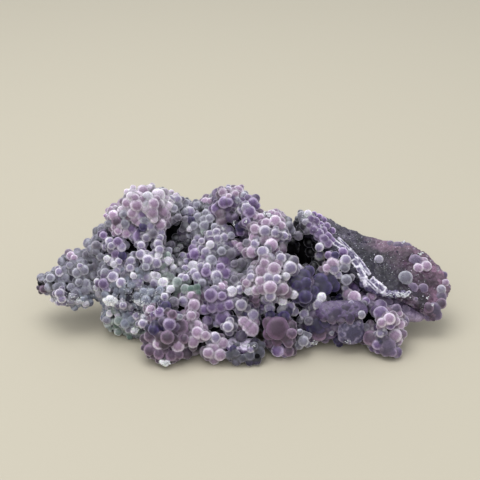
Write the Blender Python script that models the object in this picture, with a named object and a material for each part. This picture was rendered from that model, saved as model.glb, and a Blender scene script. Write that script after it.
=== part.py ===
"""Grape agate: one crust of purple chalcedony that grew as fused balls, with a smooth blade at its right end.

Blender 4.5. The model ends in metres, +Z up. X runs along the length, the open face looks towards -Y, and
the origin is under the middle of the box, on the plane that the stone rests on. The shapes are worked out
in millimetres and scaled down once, at the end.
"""

import math
import random
from collections import namedtuple

import bmesh
import bpy
from mathutils import Matrix, Vector, noise

# Driving dimensions, in millimetres
MILLIMETRE = 0.001  # in metres
LOBE_LUMPS = 0.12  # how far a lobe swells or sinks from its ellipsoid, as a share of its radius
LUMP_WAVE = 9.0  # width of those swellings
GRAPE_SPREAD = 0.18  # how far a grape's radius varies around its lobe's own
GRAPE_GAP = 1.45  # distance between neighbouring grapes, in mean radii
GRAPE_SINK = 0.30  # how deep a grape's centre lies under the skin, in its own radii
GRAPE_TRIES = 26  # random places tried for each grape's worth of skin
LOWEST_GRAPE = 0.3  # least height of a grape's centre over the resting plane, in its own radii
BALL_DETAIL = 2  # subdivisions of the balls that are fused
BLADE_THICKNESS = 4.6
BLADE_SWELL = 0.25  # how far that thickness varies, as a share
BLADE_BLUNTNESS = 0.7  # power that squares the blade's long edges, 1 is an ellipse
BLADE_STATIONS = 12  # cross-sections along the blade
BLADE_SIDES = 10  # corners of each cross-section
RIB_SIZE = (2.6, 1.5, 1.3)  # half sizes of one glassy rib on the blade's front edge
RIB_PITCH = 3.6
RIB_LIFT = 1.6  # height of the ribs' middles over the blade's front edge
RIB_STEPS = 40  # points that the row of ribs is measured along
FUSE_GRAIN = 0.8  # width of the cells that the overlapping shapes are fused in
FACET_BUDGET = 9200  # triangles of the fused skin before the cut under it
SEED = 11

# Colour of the chalcedony, linear, with its roughness
VIOLET = (0.36, 0.28, 0.45, 1.0)
ROUGHNESS = 0.42

Lobe = namedtuple("Lobe", "name at size grape")
Flake = namedtuple("Flake", "name at size turn")

# The bunches that the crust is built of: centre, half sizes along X, Y and Z, and the radius of its grapes
LOBES = (
    Lobe("core", (0, 4, 14), (44, 17, 15), 4.2),
    Lobe("crown", (-41, 16, 41), (9, 9, 11), 3.6),
    Lobe("crown_top", (-44, 15, 47), (6, 6, 6), 3.2),
    Lobe("crown_beard", (-40, 9, 35), (6, 6, 6), 3.2),
    Lobe("crown_left", (-51, 13, 41), (6, 7, 6), 3.0),
    Lobe("crown_right", (-32, 18, 44), (5, 6, 5), 3.0),
    Lobe("crown_neck", (-40, 16, 29), (9, 9, 10), 3.6),
    Lobe("wing_shoulder", (-58, 10, 29), (7, 8, 8), 3.2),
    Lobe("wing", (-68, 7, 21.5), (8, 8, 6), 3.0),
    Lobe("wing_tip", (-77, 4, 16.5), (7, 6, 5), 2.9),
    Lobe("wing_under", (-70, -2, 14.5), (8, 6, 4), 2.9),
    Lobe("wing_front", (-51, 6, 29), (7, 7, 7), 3.2),
    Lobe("wing_root", (-55, 5, 18), (10, 9, 9), 3.6),
    Lobe("blue_bunch", (-39, 3, 26), (8, 7, 7), 3.2),
    Lobe("druse_face", (-45, -2, 17), (14, 10, 10), 3.6),
    Lobe("druse_right", (-33, -4, 17), (9, 8, 9), 3.4),
    Lobe("green_corner", (-50, -5, 7), (9, 7, 7), 3.4),
    Lobe("green_foot", (-42, -9, 4), (7, 6, 5), 3.2),
    Lobe("saddle", (-26, 20, 36), (8, 8, 8), 3.4),
    Lobe("grey_bunch", (-16, 18, 36), (9, 8, 8), 3.4),
    Lobe("middle_upper", (-12, 8, 30), (9, 8, 8), 3.4),
    Lobe("middle_lower", (-14, -2, 22), (8, 7, 8), 3.4),
    Lobe("second_peak", (-7, 18, 41.5), (8, 8, 10), 3.7),
    Lobe("peak_right", (1, 15, 39.5), (6, 8, 8.5), 3.4),
    Lobe("peak_shoulder", (12, 10, 37.5), (6, 7, 7), 3.2),
    Lobe("pink_bunch", (8, 4, 34), (7, 7, 8), 3.5),
    Lobe("bright_bunch", (10, -9, 25), (9, 8, 10), 3.6),
    Lobe("hollow_bunch", (1, 2, 26), (8, 7, 8), 3.4),
    Lobe("violet_bunch", (-7, -12, 17), (7, 7, 7), 3.8),
    Lobe("rose_bunch", (-20, -10, 17), (7, 6, 6), 3.5),
    Lobe("front_violet", (-4, -19, 9), (7, 7, 6), 3.9),
    Lobe("left_foot", (-30, -21, 10), (9, 8, 9), 4.0),
    Lobe("left_sole", (-30, -24, 2), (8, 7, 6), 4.0),
    Lobe("foot_rose", (-18, -21, 8), (6, 6, 6), 3.8),
    Lobe("front_toe", (-12, -25, 3), (7, 5, 4), 3.9),
    Lobe("middle_toe", (0, -27, 3), (8, 5, 4), 3.6),
    Lobe("disc_bunch", (13, -19, 9), (7, 7, 7), 4.0),
    Lobe("disc_sole", (18, -18, 3), (8, 6, 5), 3.8),
    Lobe("disc_drop", (15, -22, 4), (5, 4, 4), 3.2),
    Lobe("indigo_left", (23, -5, 21), (6, 7, 8), 4.2),
    Lobe("indigo_right", (31, -4, 19), (7, 7, 8), 4.4),
    Lobe("flake_bed", (32, -10, 9), (12, 9, 8), 4.0),
    Lobe("flake_link", (47, -12, 9), (5, 5, 7), 3.4),
    Lobe("low_left", (50, -15, 5), (5, 5, 5), 3.2),
    Lobe("low_bunch", (56, -16, 8), (7, 7, 9), 3.6),
    Lobe("low_toe", (55, -21, 2), (6, 5, 5), 3.6),
    Lobe("blade_root", (27, 13, 36), (6, 6, 7), 3.4),
    Lobe("root_wall", (24, 17, 22), (9, 7, 14), 4.2),
    Lobe("blade_bed", (48, 4, 12), (15, 10, 9), 4.2),
    Lobe("left_heel", (-27, 22, 11), (24, 9, 13), 4.4),
    Lobe("right_heel", (17, 20, 11), (23, 9, 13), 4.4),
)

# Flat violet tablets wedged between the bunches: centre, half sizes, and turns about X, Y and Z in degrees
FLAKES = (
    Flake("long_tablet", (38, -18, 16), (9.5, 5.0, 2.6), (20, -4, -3)),
    Flake("square_tablet", (42, -19, 9), (5.5, 2.4, 5.5), (-12, 8, 10)),
    Flake("left_tablet", (30, -17, 8), (6.5, 2.6, 4.5), (-16, -10, -12)),
    Flake("toe_tablet", (-1, -27, 6), (6.5, 3.5, 1.8), (14, 6, 0)),
    Flake("lower_blade", (60, -6, 12), (13, 5.5, 2.4), (12, 16, -6)),
)

# The blade's two long edges, from its root beside the cave out to its tip
BLADE_BACK_EDGE = ((24, 16, 42), (34, 20, 38), (44, 21, 32), (56, 19, 28), (69, 16, 27), (78, 11, 23), (85, 3, 15))
BLADE_FRONT_EDGE = ((27, 7, 38), (32, 2, 34), (40, -3, 27), (49, -7, 20), (60, -8, 17), (68, -9, 14), (76, -11, 8))
RIBBED_KNOTS = 4  # points of the front edge, counted from the root, that the ribs follow


def add_ball(bm, at, size, turn=(0, 0, 0), lumps=0.0):
    """Adds an ellipsoid, and swells and sinks it by smooth noise where lumps says how far."""
    angles = [math.radians(angle) for angle in turn]
    turned = Matrix.Rotation(angles[2], 4, "Z") @ Matrix.Rotation(angles[1], 4, "Y") @ Matrix.Rotation(angles[0], 4, "X")
    place = Matrix.Translation(at) @ turned @ Matrix.Diagonal((*size, 1.0))
    made = bmesh.ops.create_icosphere(bm, subdivisions=BALL_DETAIL, radius=1.0, matrix=place)
    for vert in made["verts"]:
        vert.co += (vert.co - Vector(at)) * lumps * noise.noise(vert.co / LUMP_WAVE)


def smooth_edge(points, stations):
    """Evenly spaced points on a smooth curve through the given ones."""
    knots = [Vector(point) for point in points]
    knots = [2 * knots[0] - knots[1], *knots, 2 * knots[-1] - knots[-2]]
    spans = len(points) - 1
    curve = []
    for step in range(stations):
        along = spans * step / (stations - 1)
        span = min(int(along), spans - 1)
        before, start, end, after = knots[span : span + 4]
        t = along - span
        square = 2 * before - 5 * start + 4 * end - after
        cube = 3 * start - before - 3 * end + after
        curve.append((2 * start + (end - before) * t + square * t**2 + cube * t**3) / 2)
    return curve


def add_blade(bm):
    """Adds the blade: a bent sheet with blunt edges between its two long edges."""
    back_edge = smooth_edge(BLADE_BACK_EDGE, BLADE_STATIONS)
    front_edge = smooth_edge(BLADE_FRONT_EDGE, BLADE_STATIONS)
    rings = []
    for station, (back, front) in enumerate(zip(back_edge, front_edge)):
        middle = (back + front) / 2
        across = (back - front) / 2
        ahead = back_edge[min(station + 1, BLADE_STATIONS - 1)] - back_edge[max(station - 1, 0)]
        up = ahead.cross(across).normalized()
        half = BLADE_THICKNESS / 2 * (1 + BLADE_SWELL * noise.noise(middle / LUMP_WAVE))
        ring = []
        for side in range(BLADE_SIDES):
            turn = 2 * math.pi * side / BLADE_SIDES
            flat = math.copysign(abs(math.cos(turn)) ** BLADE_BLUNTNESS, math.cos(turn))
            ring.append(bm.verts.new(middle + across * flat + up * half * math.sin(turn)))
        rings.append(ring)
    faces = [bm.faces.new(rings[0]), bm.faces.new(reversed(rings[-1]))]
    for ring, following in zip(rings, rings[1:]):
        for side in range(BLADE_SIDES):
            other = (side + 1) % BLADE_SIDES
            faces.append(bm.faces.new((ring[side], following[side], following[other], ring[other])))
    bmesh.ops.recalc_face_normals(bm, faces=faces)


def add_ribs(bm):
    """Adds the glassy ribs that stand in a row along the blade's front edge."""
    edge = smooth_edge(BLADE_FRONT_EDGE[:RIBBED_KNOTS], RIB_STEPS)
    travelled = 0.0
    for start, end in zip(edge, edge[1:]):
        travelled += (end - start).length
        if travelled >= RIB_PITCH:
            travelled = 0.0
            turned = (end - start).to_track_quat("X", "Z").to_matrix().to_4x4()
            place = Matrix.Translation(end + Vector((0, 0, RIB_LIFT))) @ turned @ Matrix.Diagonal((*RIB_SIZE, 1.0))
            bmesh.ops.create_cube(bm, size=2.0, matrix=place)


def inside(point, lobe):
    """Whether a point lies within a lobe."""
    return sum(((p - c) / s) ** 2 for p, c, s in zip(point, lobe.at, lobe.size)) < 1.0


def skin_point(lobe, rng):
    """A random point on a lobe's skin, and the outward direction there."""
    height = rng.uniform(-1, 1)
    turn = rng.uniform(0, 2 * math.pi)
    flat = math.sqrt(1 - height * height)
    unit = Vector((flat * math.cos(turn), flat * math.sin(turn), height))
    point = Vector(c + u * s for c, u, s in zip(lobe.at, unit, lobe.size))
    out = Vector(u / s for u, s in zip(unit, lobe.size)).normalized()
    return point, out


def grow_grapes(rng):
    """Grapes as (centre, radius), packed side by side over the outside of the bunches."""
    grapes = []
    for lobe in LOBES:
        skin = 4 * (lobe.size[0] * lobe.size[1] * lobe.size[2]) ** (2 / 3) / lobe.grape**2
        for _ in range(int(GRAPE_TRIES * skin)):
            point, out = skin_point(lobe, rng)
            radius = lobe.grape * rng.uniform(1 - GRAPE_SPREAD, 1 + GRAPE_SPREAD)
            centre = point - out * radius * GRAPE_SINK
            if centre.z < LOWEST_GRAPE * radius:
                continue
            if any(inside(point, other) for other in LOBES if other is not lobe):
                continue
            if all((centre - c).length > GRAPE_GAP * (radius + r) / 2 for c, r in grapes):
                grapes.append((centre, radius))
    return grapes


def keep_outer_skin(mesh):
    """Leaves only the largest connected shell of a mesh, without the closed pockets inside it."""
    bm = bmesh.new()
    bm.from_mesh(mesh)
    waiting = set(bm.faces)
    shells = []
    while waiting:
        shell = []
        front = [waiting.pop()]
        while front:
            face = front.pop()
            shell.append(face)
            for edge in face.edges:
                for other in edge.link_faces:
                    if other in waiting:
                        waiting.remove(other)
                        front.append(other)
        shells.append(shell)
    shells.sort(key=len)
    pockets = [face for shell in shells[:-1] for face in shell]
    bmesh.ops.delete(bm, geom=pockets, context="FACES")
    bm.to_mesh(mesh)
    bm.free()


def apply_modifier(obj, kind, **settings):
    """Adds a modifier with these settings to an object and applies it."""
    modifier = obj.modifiers.new(kind.lower(), kind)
    for name, value in settings.items():
        setattr(modifier, name, value)
    bpy.context.view_layer.objects.active = obj
    bpy.ops.object.modifier_apply(modifier=modifier.name)


def fused(bm, name):
    """The overlapping shapes as one object with one closed skin, of about as many triangles as budgeted."""
    mesh = bpy.data.meshes.new(name)
    bm.to_mesh(mesh)
    obj = bpy.data.objects.new(name, mesh)
    bpy.context.scene.collection.objects.link(obj)
    apply_modifier(obj, "REMESH", mode="VOXEL", voxel_size=FUSE_GRAIN)
    keep_outer_skin(obj.data)
    share = FACET_BUDGET / (2 * len(obj.data.polygons))
    apply_modifier(obj, "DECIMATE", ratio=share)
    return obj


def cut_and_place(mesh):
    """Cuts off what lies under the resting plane, and moves the middle of the box over the origin."""
    bm = bmesh.new()
    bm.from_mesh(mesh)
    everything = [*bm.verts, *bm.edges, *bm.faces]
    cut = bmesh.ops.bisect_plane(bm, geom=everything, plane_co=(0, 0, 0), plane_no=(0, 0, 1), clear_inner=True)
    rims = [piece for piece in cut["geom_cut"] if isinstance(piece, bmesh.types.BMEdge)]
    bmesh.ops.triangle_fill(bm, edges=rims, use_beauty=True, normal=(0, 0, -1))
    bmesh.ops.triangulate(bm, faces=bm.faces)
    bmesh.ops.recalc_face_normals(bm, faces=bm.faces)
    across = [vert.co.x for vert in bm.verts]
    deep = [vert.co.y for vert in bm.verts]
    middle = Vector(((min(across) + max(across)) / 2, (min(deep) + max(deep)) / 2, 0))
    bmesh.ops.translate(bm, verts=bm.verts, vec=-middle)
    bmesh.ops.scale(bm, verts=bm.verts, vec=(MILLIMETRE,) * 3)
    for face in bm.faces:
        face.smooth = True
    bm.to_mesh(mesh)
    bm.free()


def chalcedony():
    """The violet material of the stone."""
    material = bpy.data.materials.new("chalcedony")
    material.use_nodes = True
    surface = material.node_tree.nodes["Principled BSDF"].inputs
    surface["Base Color"].default_value = VIOLET
    surface["Roughness"].default_value = ROUGHNESS
    surface["Metallic"].default_value = 0.0
    return material


def main():
    """Builds the stone."""
    for obj in list(bpy.data.objects):
        bpy.data.objects.remove(obj)
    bm = bmesh.new()
    for lobe in LOBES:
        add_ball(bm, lobe.at, lobe.size, lumps=LOBE_LUMPS)
    for flake in FLAKES:
        add_ball(bm, flake.at, flake.size, turn=flake.turn)
    for centre, radius in grow_grapes(random.Random(SEED)):
        add_ball(bm, centre, (radius,) * 3)
    add_blade(bm)
    add_ribs(bm)
    stone = fused(bm, "grape_agate")
    bm.free()
    cut_and_place(stone.data)
    stone.data.materials.append(chalcedony())


main()
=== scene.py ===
"""Looks of the grape agate: translucent violet balls over a dark crust, a sugary blade, ribs, tablets and druse.

Sizes are in millimetres while a piece is worked out, and in metres once it stands in the scene.
"""

from __future__ import annotations

import logging
import math
from collections.abc import Callable
from dataclasses import dataclass, field
from enum import Enum

import bmesh
import bpy
import numpy as np
from mathutils import Matrix, Vector, noise
from mathutils.bvhtree import BVHTree
from mathutils.kdtree import KDTree

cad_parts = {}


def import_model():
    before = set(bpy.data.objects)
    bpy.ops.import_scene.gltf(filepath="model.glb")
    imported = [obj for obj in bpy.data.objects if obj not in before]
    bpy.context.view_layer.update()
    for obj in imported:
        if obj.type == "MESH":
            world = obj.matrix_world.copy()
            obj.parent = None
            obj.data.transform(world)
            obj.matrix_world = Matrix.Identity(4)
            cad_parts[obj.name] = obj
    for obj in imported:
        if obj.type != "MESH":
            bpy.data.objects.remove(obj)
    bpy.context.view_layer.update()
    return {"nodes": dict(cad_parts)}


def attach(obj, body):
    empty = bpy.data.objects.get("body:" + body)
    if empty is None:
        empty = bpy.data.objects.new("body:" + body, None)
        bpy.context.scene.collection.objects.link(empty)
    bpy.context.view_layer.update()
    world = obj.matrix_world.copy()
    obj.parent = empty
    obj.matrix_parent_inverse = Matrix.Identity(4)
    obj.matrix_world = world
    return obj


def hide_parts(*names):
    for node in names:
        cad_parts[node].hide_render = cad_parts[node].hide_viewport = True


LOG = logging.getLogger("grape_agate")
NODE = "grape_agate"
MM = 0.001
PICTURE = 480

Colour = tuple[float, float, float]
Point = tuple[float, float, float]


def linear(red: int, green: int, blue: int) -> Colour:
    """Turns a colour as seen on a screen into the linear values that a shader takes.

    Args:
        red: Red from 0 to 255.
        green: Green from 0 to 255.
        blue: Blue from 0 to 255.

    Returns:
        The linear red, green and blue.
    """
    return tuple(v / 12.92 if v <= 0.04045 else ((v + 0.055) / 1.055) ** 2.4 for v in (red / 255, green / 255, blue / 255))


class Tone(Enum):
    """The colours of the balls: the core of one, and the pale rim around it, a painted sheen that stands in for the
    frosted skin's glow at grazing angles.
    """

    CROWN = (linear(174, 162, 179), linear(238, 232, 240))
    PALE = (linear(122, 112, 142), linear(222, 217, 229))
    PINK = (linear(144, 120, 147), linear(224, 211, 228))
    GREY = (linear(112, 109, 126), linear(190, 190, 202))
    WING = (linear(106, 103, 120), linear(170, 170, 184))
    VIOLET = (linear(92, 70, 114), linear(184, 168, 200))
    INDIGO = (linear(24, 10, 60), linear(72, 60, 108))
    PLUM = (linear(38, 18, 58), linear(92, 72, 116))
    MAROON = (linear(74, 54, 78), linear(146, 122, 148))
    TEAL = (linear(116, 128, 126), linear(192, 200, 199))
    GREEN = (linear(74, 98, 90), linear(138, 158, 150))
    LILAC = (linear(84, 70, 98), linear(140, 124, 150))
    WINE = (linear(64, 38, 64), linear(116, 88, 118))
    SLATE = (linear(56, 54, 70), linear(108, 107, 122))
    # Painted shade: the grey-violet of balls that lie in shade, painted darker.
    DIM = (linear(84, 79, 94), linear(148, 143, 156))
    DRUSE = (linear(112, 116, 134), linear(172, 177, 192))
    WHITE = (linear(180, 176, 190), linear(238, 236, 243))
    FROST = (linear(134, 129, 147), linear(212, 208, 221))
    SNOW = (linear(232, 232, 240), linear(250, 250, 252))
    # Painted shade: near black for the gaps between balls, the hollows and the cave, where shade falls.
    DARK = (linear(13, 9, 20), linear(46, 38, 58))

    @property
    def core(self) -> np.ndarray:
        """The colour of a ball's middle."""
        return np.array(self.value[0])

    @property
    def rim(self) -> np.ndarray:
        """The colour of the pale ring around it, a painted sheen."""
        return np.array(self.value[1])


@dataclass(frozen=True)
class Viewpoint:
    """The camera at the photograph's angle, and the rays through its pixels.

    Attributes:
        place: Where the camera stands, in millimetres.
        elevation: How far it looks down, in degrees.
        lens: Focal length in millimetres.
        sensor: Width of the film in millimetres.
    """

    place: Point = (-1.678, -366.868, 234.064)
    elevation: float = 28.0
    lens: float = 77.7
    sensor: float = 36.0

    def ray(self, x: float, y: float) -> Vector:
        """Gives the direction in which a pixel looks.

        Args:
            x: Pixel from the left.
            y: Pixel from the top.

        Returns:
            A direction of length one.
        """
        tilt = math.radians(self.elevation)
        back = Vector((0.0, -math.cos(tilt), math.sin(tilt)))
        up = Vector((0.0, math.sin(tilt), math.cos(tilt)))
        per_pixel = self.sensor / self.lens / PICTURE
        across = (x - PICTURE / 2) * per_pixel
        rise = (PICTURE / 2 - y) * per_pixel
        return (Vector((across, 0, 0)) + up * rise - back).normalized()

    def scale_at(self, point: Vector) -> float:
        """Gives the width of one pixel at a point, in millimetres."""
        return (point - Vector(self.place)).length * self.sensor / self.lens / PICTURE

    def build(self) -> bpy.types.Object:
        """Makes the camera and gives it to the scene."""
        place = [v * MM for v in self.place]
        bpy.ops.object.camera_add(location=place, rotation=(math.radians(90 - self.elevation), 0, 0))
        camera = bpy.context.object
        camera.data.lens = self.lens
        camera.data.sensor_width = self.sensor
        camera.data.clip_start = 0.01
        bpy.context.scene.camera = camera
        return camera


@dataclass(frozen=True)
class Studio:
    """A plain pale floor, a soft key light, a fill and an even sky."""

    floor_colour: Colour = linear(188, 181, 163)
    floor_size: float = 6.0

    def build(self) -> None:
        """Makes the floor, the lights and the sky."""
        bpy.ops.mesh.primitive_plane_add(size=self.floor_size)
        floor = bpy.context.object
        floor.name = "floor"
        floor.data.materials.append(Finish("floor_paint", roughness=0.7, colour=self.floor_colour).build())
        for name, power, size, place, aim in (
            ("key", 3.9, 0.62, (-0.12, 0.10, 0.80), (0, 0, 0.02)),
            ("front", 1.4, 0.8, (-0.25, -0.75, 0.55), (0, 0, 0.02)),
        ):
            bpy.ops.object.light_add(type="AREA", location=place)
            light = bpy.context.object
            light.name = name
            light.data.energy = power
            light.data.size = size
            light.rotation_euler = (Vector(aim) - Vector(place)).to_track_quat("-Z", "Y").to_euler()
        world = bpy.data.worlds.new("sky")
        world.use_nodes = True
        world.node_tree.nodes["Background"].inputs["Color"].default_value = (0.96, 0.98, 1.0, 1)
        world.node_tree.nodes["Background"].inputs["Strength"].default_value = 0.80
        bpy.context.scene.world = world
        bpy.context.scene.view_settings.view_transform = "Standard"


@dataclass(frozen=True)
class Finish:
    """A surface: its colour, gloss, frost and fine grain.

    Attributes:
        name: The material's name.
        roughness: Roughness of the surface.
        colour: Plain colour, used where attribute is empty.
        attribute: Name of the colour attribute that the surface is painted by.
        speckle: How far the fine grain lightens and darkens the colour.
        grain: Size of the fine grain, in millimetres.
        bump: Height of that grain, in millimetres.
        scatter: How much light goes in under the surface.
        reach: How far it goes, in millimetres.
        frost: Strength of the pale bloom at grazing angles.
        coat: Strength of the thin gloss on top.
        shine: Strength of the plain reflection.
        painted_glint: Share of the tiniest grains that are painted near white, as painted glints of the sugary skin.
        spark: Size of those grains, in millimetres.
    """

    name: str
    roughness: float = 0.4
    colour: Colour = (0.5, 0.5, 0.5)
    attribute: str = ""
    speckle: float = 0.0
    grain: float = 0.5
    bump: float = 0.0
    scatter: float = 0.0
    reach: float = 1.5
    frost: float = 0.0
    coat: float = 0.0
    shine: float = 0.5
    painted_glint: float = 0.0
    spark: float = 0.30

    def build(self) -> bpy.types.Material:
        """Makes the material.

        Returns:
            The new material.
        """
        material = bpy.data.materials.new(self.name)
        material.use_nodes = True
        tree = material.node_tree
        surface = tree.nodes["Principled BSDF"]
        surface.inputs["Base Color"].default_value = (*self.colour, 1.0)
        surface.inputs["Roughness"].default_value = self.roughness
        surface.inputs["IOR"].default_value = 1.54
        surface.inputs["Specular IOR Level"].default_value = self.shine
        surface.inputs["Subsurface Weight"].default_value = self.scatter
        surface.inputs["Subsurface Radius"].default_value = (1.0, 0.75, 1.1)
        surface.inputs["Subsurface Scale"].default_value = self.reach * MM
        surface.inputs["Sheen Weight"].default_value = self.frost
        surface.inputs["Sheen Roughness"].default_value = 0.32
        surface.inputs["Sheen Tint"].default_value = (0.93, 0.90, 1.0, 1.0)
        surface.inputs["Coat Weight"].default_value = self.coat
        surface.inputs["Coat Roughness"].default_value = 0.18
        if not self.speckle:
            return material
        where = tree.nodes.new("ShaderNodeTexCoord")
        grains = tree.nodes.new("ShaderNodeTexNoise")
        grains.inputs["Scale"].default_value = 1.0 / (self.grain * MM)
        grains.inputs["Detail"].default_value = 3.0
        tree.links.new(where.outputs["Object"], grains.inputs["Vector"])
        shade = tree.nodes.new("ShaderNodeMapRange")
        shade.inputs["From Min"].default_value = 0.3
        shade.inputs["From Max"].default_value = 0.7
        shade.inputs["To Min"].default_value = 1.0 - self.speckle
        shade.inputs["To Max"].default_value = 1.0 + self.speckle
        tree.links.new(grains.outputs["Fac"], shade.inputs["Value"])
        tinted = tree.nodes.new("ShaderNodeVectorMath")
        tinted.operation = "SCALE"
        if self.attribute:
            painted = tree.nodes.new("ShaderNodeAttribute")
            painted.attribute_name = self.attribute
            tree.links.new(painted.outputs["Color"], tinted.inputs[0])
        else:
            tinted.inputs[0].default_value = self.colour
        tree.links.new(shade.outputs["Result"], tinted.inputs["Scale"])
        colour = tinted.outputs["Vector"]
        # Painted glints: a few tiny cells of the sugary skin are painted near white.
        if self.painted_glint:
            cells = tree.nodes.new("ShaderNodeTexVoronoi")
            cells.inputs["Scale"].default_value = 1.0 / (self.spark * MM)
            tree.links.new(where.outputs["Object"], cells.inputs["Vector"])
            picked = tree.nodes.new("ShaderNodeSeparateColor")
            tree.links.new(cells.outputs["Color"], picked.inputs["Color"])
            few = tree.nodes.new("ShaderNodeMapRange")
            few.inputs["From Min"].default_value = 1.0 - self.painted_glint
            few.inputs["From Max"].default_value = 1.0
            tree.links.new(picked.outputs["Red"], few.inputs["Value"])
            lit = tree.nodes.new("ShaderNodeMix")
            lit.data_type = "RGBA"
            lit.inputs["B"].default_value = (0.78, 0.78, 0.86, 1.0)
            tree.links.new(few.outputs["Result"], lit.inputs["Factor"])
            tree.links.new(colour, lit.inputs["A"])
            colour = lit.outputs["Result"]
        tree.links.new(colour, surface.inputs["Base Color"])
        height = tree.nodes.new("ShaderNodeBump")
        height.inputs["Distance"].default_value = self.bump * MM
        height.inputs["Strength"].default_value = 1.0
        tree.links.new(grains.outputs["Fac"], height.inputs["Height"])
        tree.links.new(height.outputs["Normal"], surface.inputs["Normal"])
        return material


GRAPE_SKIN = Finish(
    "grape_skin", roughness=0.46, attribute="tone", speckle=0.22, grain=0.45, bump=0.14, scatter=0.5, reach=1.4, frost=1.0, coat=0.10
)
GROUND_SKIN = Finish("ground_skin", roughness=0.6, attribute="tone", speckle=0.25, grain=0.7, bump=0.16, scatter=0.1, reach=1.0, frost=0.0, shine=0.12)
BLADE_SKIN = Finish(
    "blade_skin",
    roughness=0.46,
    attribute="tone",
    speckle=0.34,
    grain=0.7,
    bump=0.26,
    scatter=0.3,
    reach=1.2,
    frost=0.24,
    coat=0.05,
    painted_glint=0.012,
)
ICE = Finish("ice", roughness=0.26, attribute="tone", speckle=0.20, grain=0.5, bump=0.14, scatter=0.4, reach=1.0, frost=0.45, coat=0.4)
TABLET = Finish(
    "tablet_skin", roughness=0.40, attribute="tone", speckle=0.30, grain=0.5, bump=0.16, scatter=0.35, reach=1.2, frost=0.30, coat=0.1
)
DRUSE = Finish("druse", roughness=0.2, attribute="tone", speckle=0.06, grain=0.5, bump=0.02, scatter=0.35, reach=0.8, frost=0.2, coat=0.5)


@dataclass
class Balls:
    """Many balls: their centres, radii, outward directions, colours and shade.

    Attributes:
        centre: Centres in millimetres, one row each.
        radius: Radii in millimetres.
        out: The direction that each ball points in, away from the crust.
        core: Colours of the balls' middles.
        rim: Colours of their pale rings, a painted sheen.
        flat: How far each is pressed flat along its outward direction, 1 for a round ball.
    """

    centre: np.ndarray
    radius: np.ndarray
    out: np.ndarray
    core: np.ndarray
    rim: np.ndarray
    flat: np.ndarray = field(default_factory=lambda: np.zeros(0))

    def __post_init__(self) -> None:
        """Makes all balls round where nothing else is given."""
        if not len(self.flat):
            self.flat = np.ones(len(self.radius))

    def __len__(self) -> int:
        """Counts the balls."""
        return len(self.radius)

    def chosen(self, which: np.ndarray) -> Balls:
        """Gives some of the balls.

        Args:
            which: A mask or the indices of the wanted ones.

        Returns:
            Those balls.
        """
        return Balls(*(getattr(self, name)[which] for name in ("centre", "radius", "out", "core", "rim", "flat")))


def joined(sets: list[Balls]) -> Balls:
    """Puts several sets of balls into one."""
    return Balls(*(np.concatenate([getattr(s, name) for s in sets]) for name in ("centre", "radius", "out", "core", "rim", "flat")))


@dataclass(frozen=True)
class Region:
    """A part of the stone whose balls are alike.

    Attributes:
        at: Its middle, in millimetres.
        tone: The colour of its balls.
        smallest: Least radius of a ball, in millimetres.
        largest: Greatest radius.
        second: Another colour that patches of it have.
        gloom: How open and deep the gaps between its balls are, and how much painted shade darkens the gaps and the
            balls there.
    """

    at: Point
    tone: Tone
    smallest: float
    largest: float
    second: Tone
    gloom: float = 0.0


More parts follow.
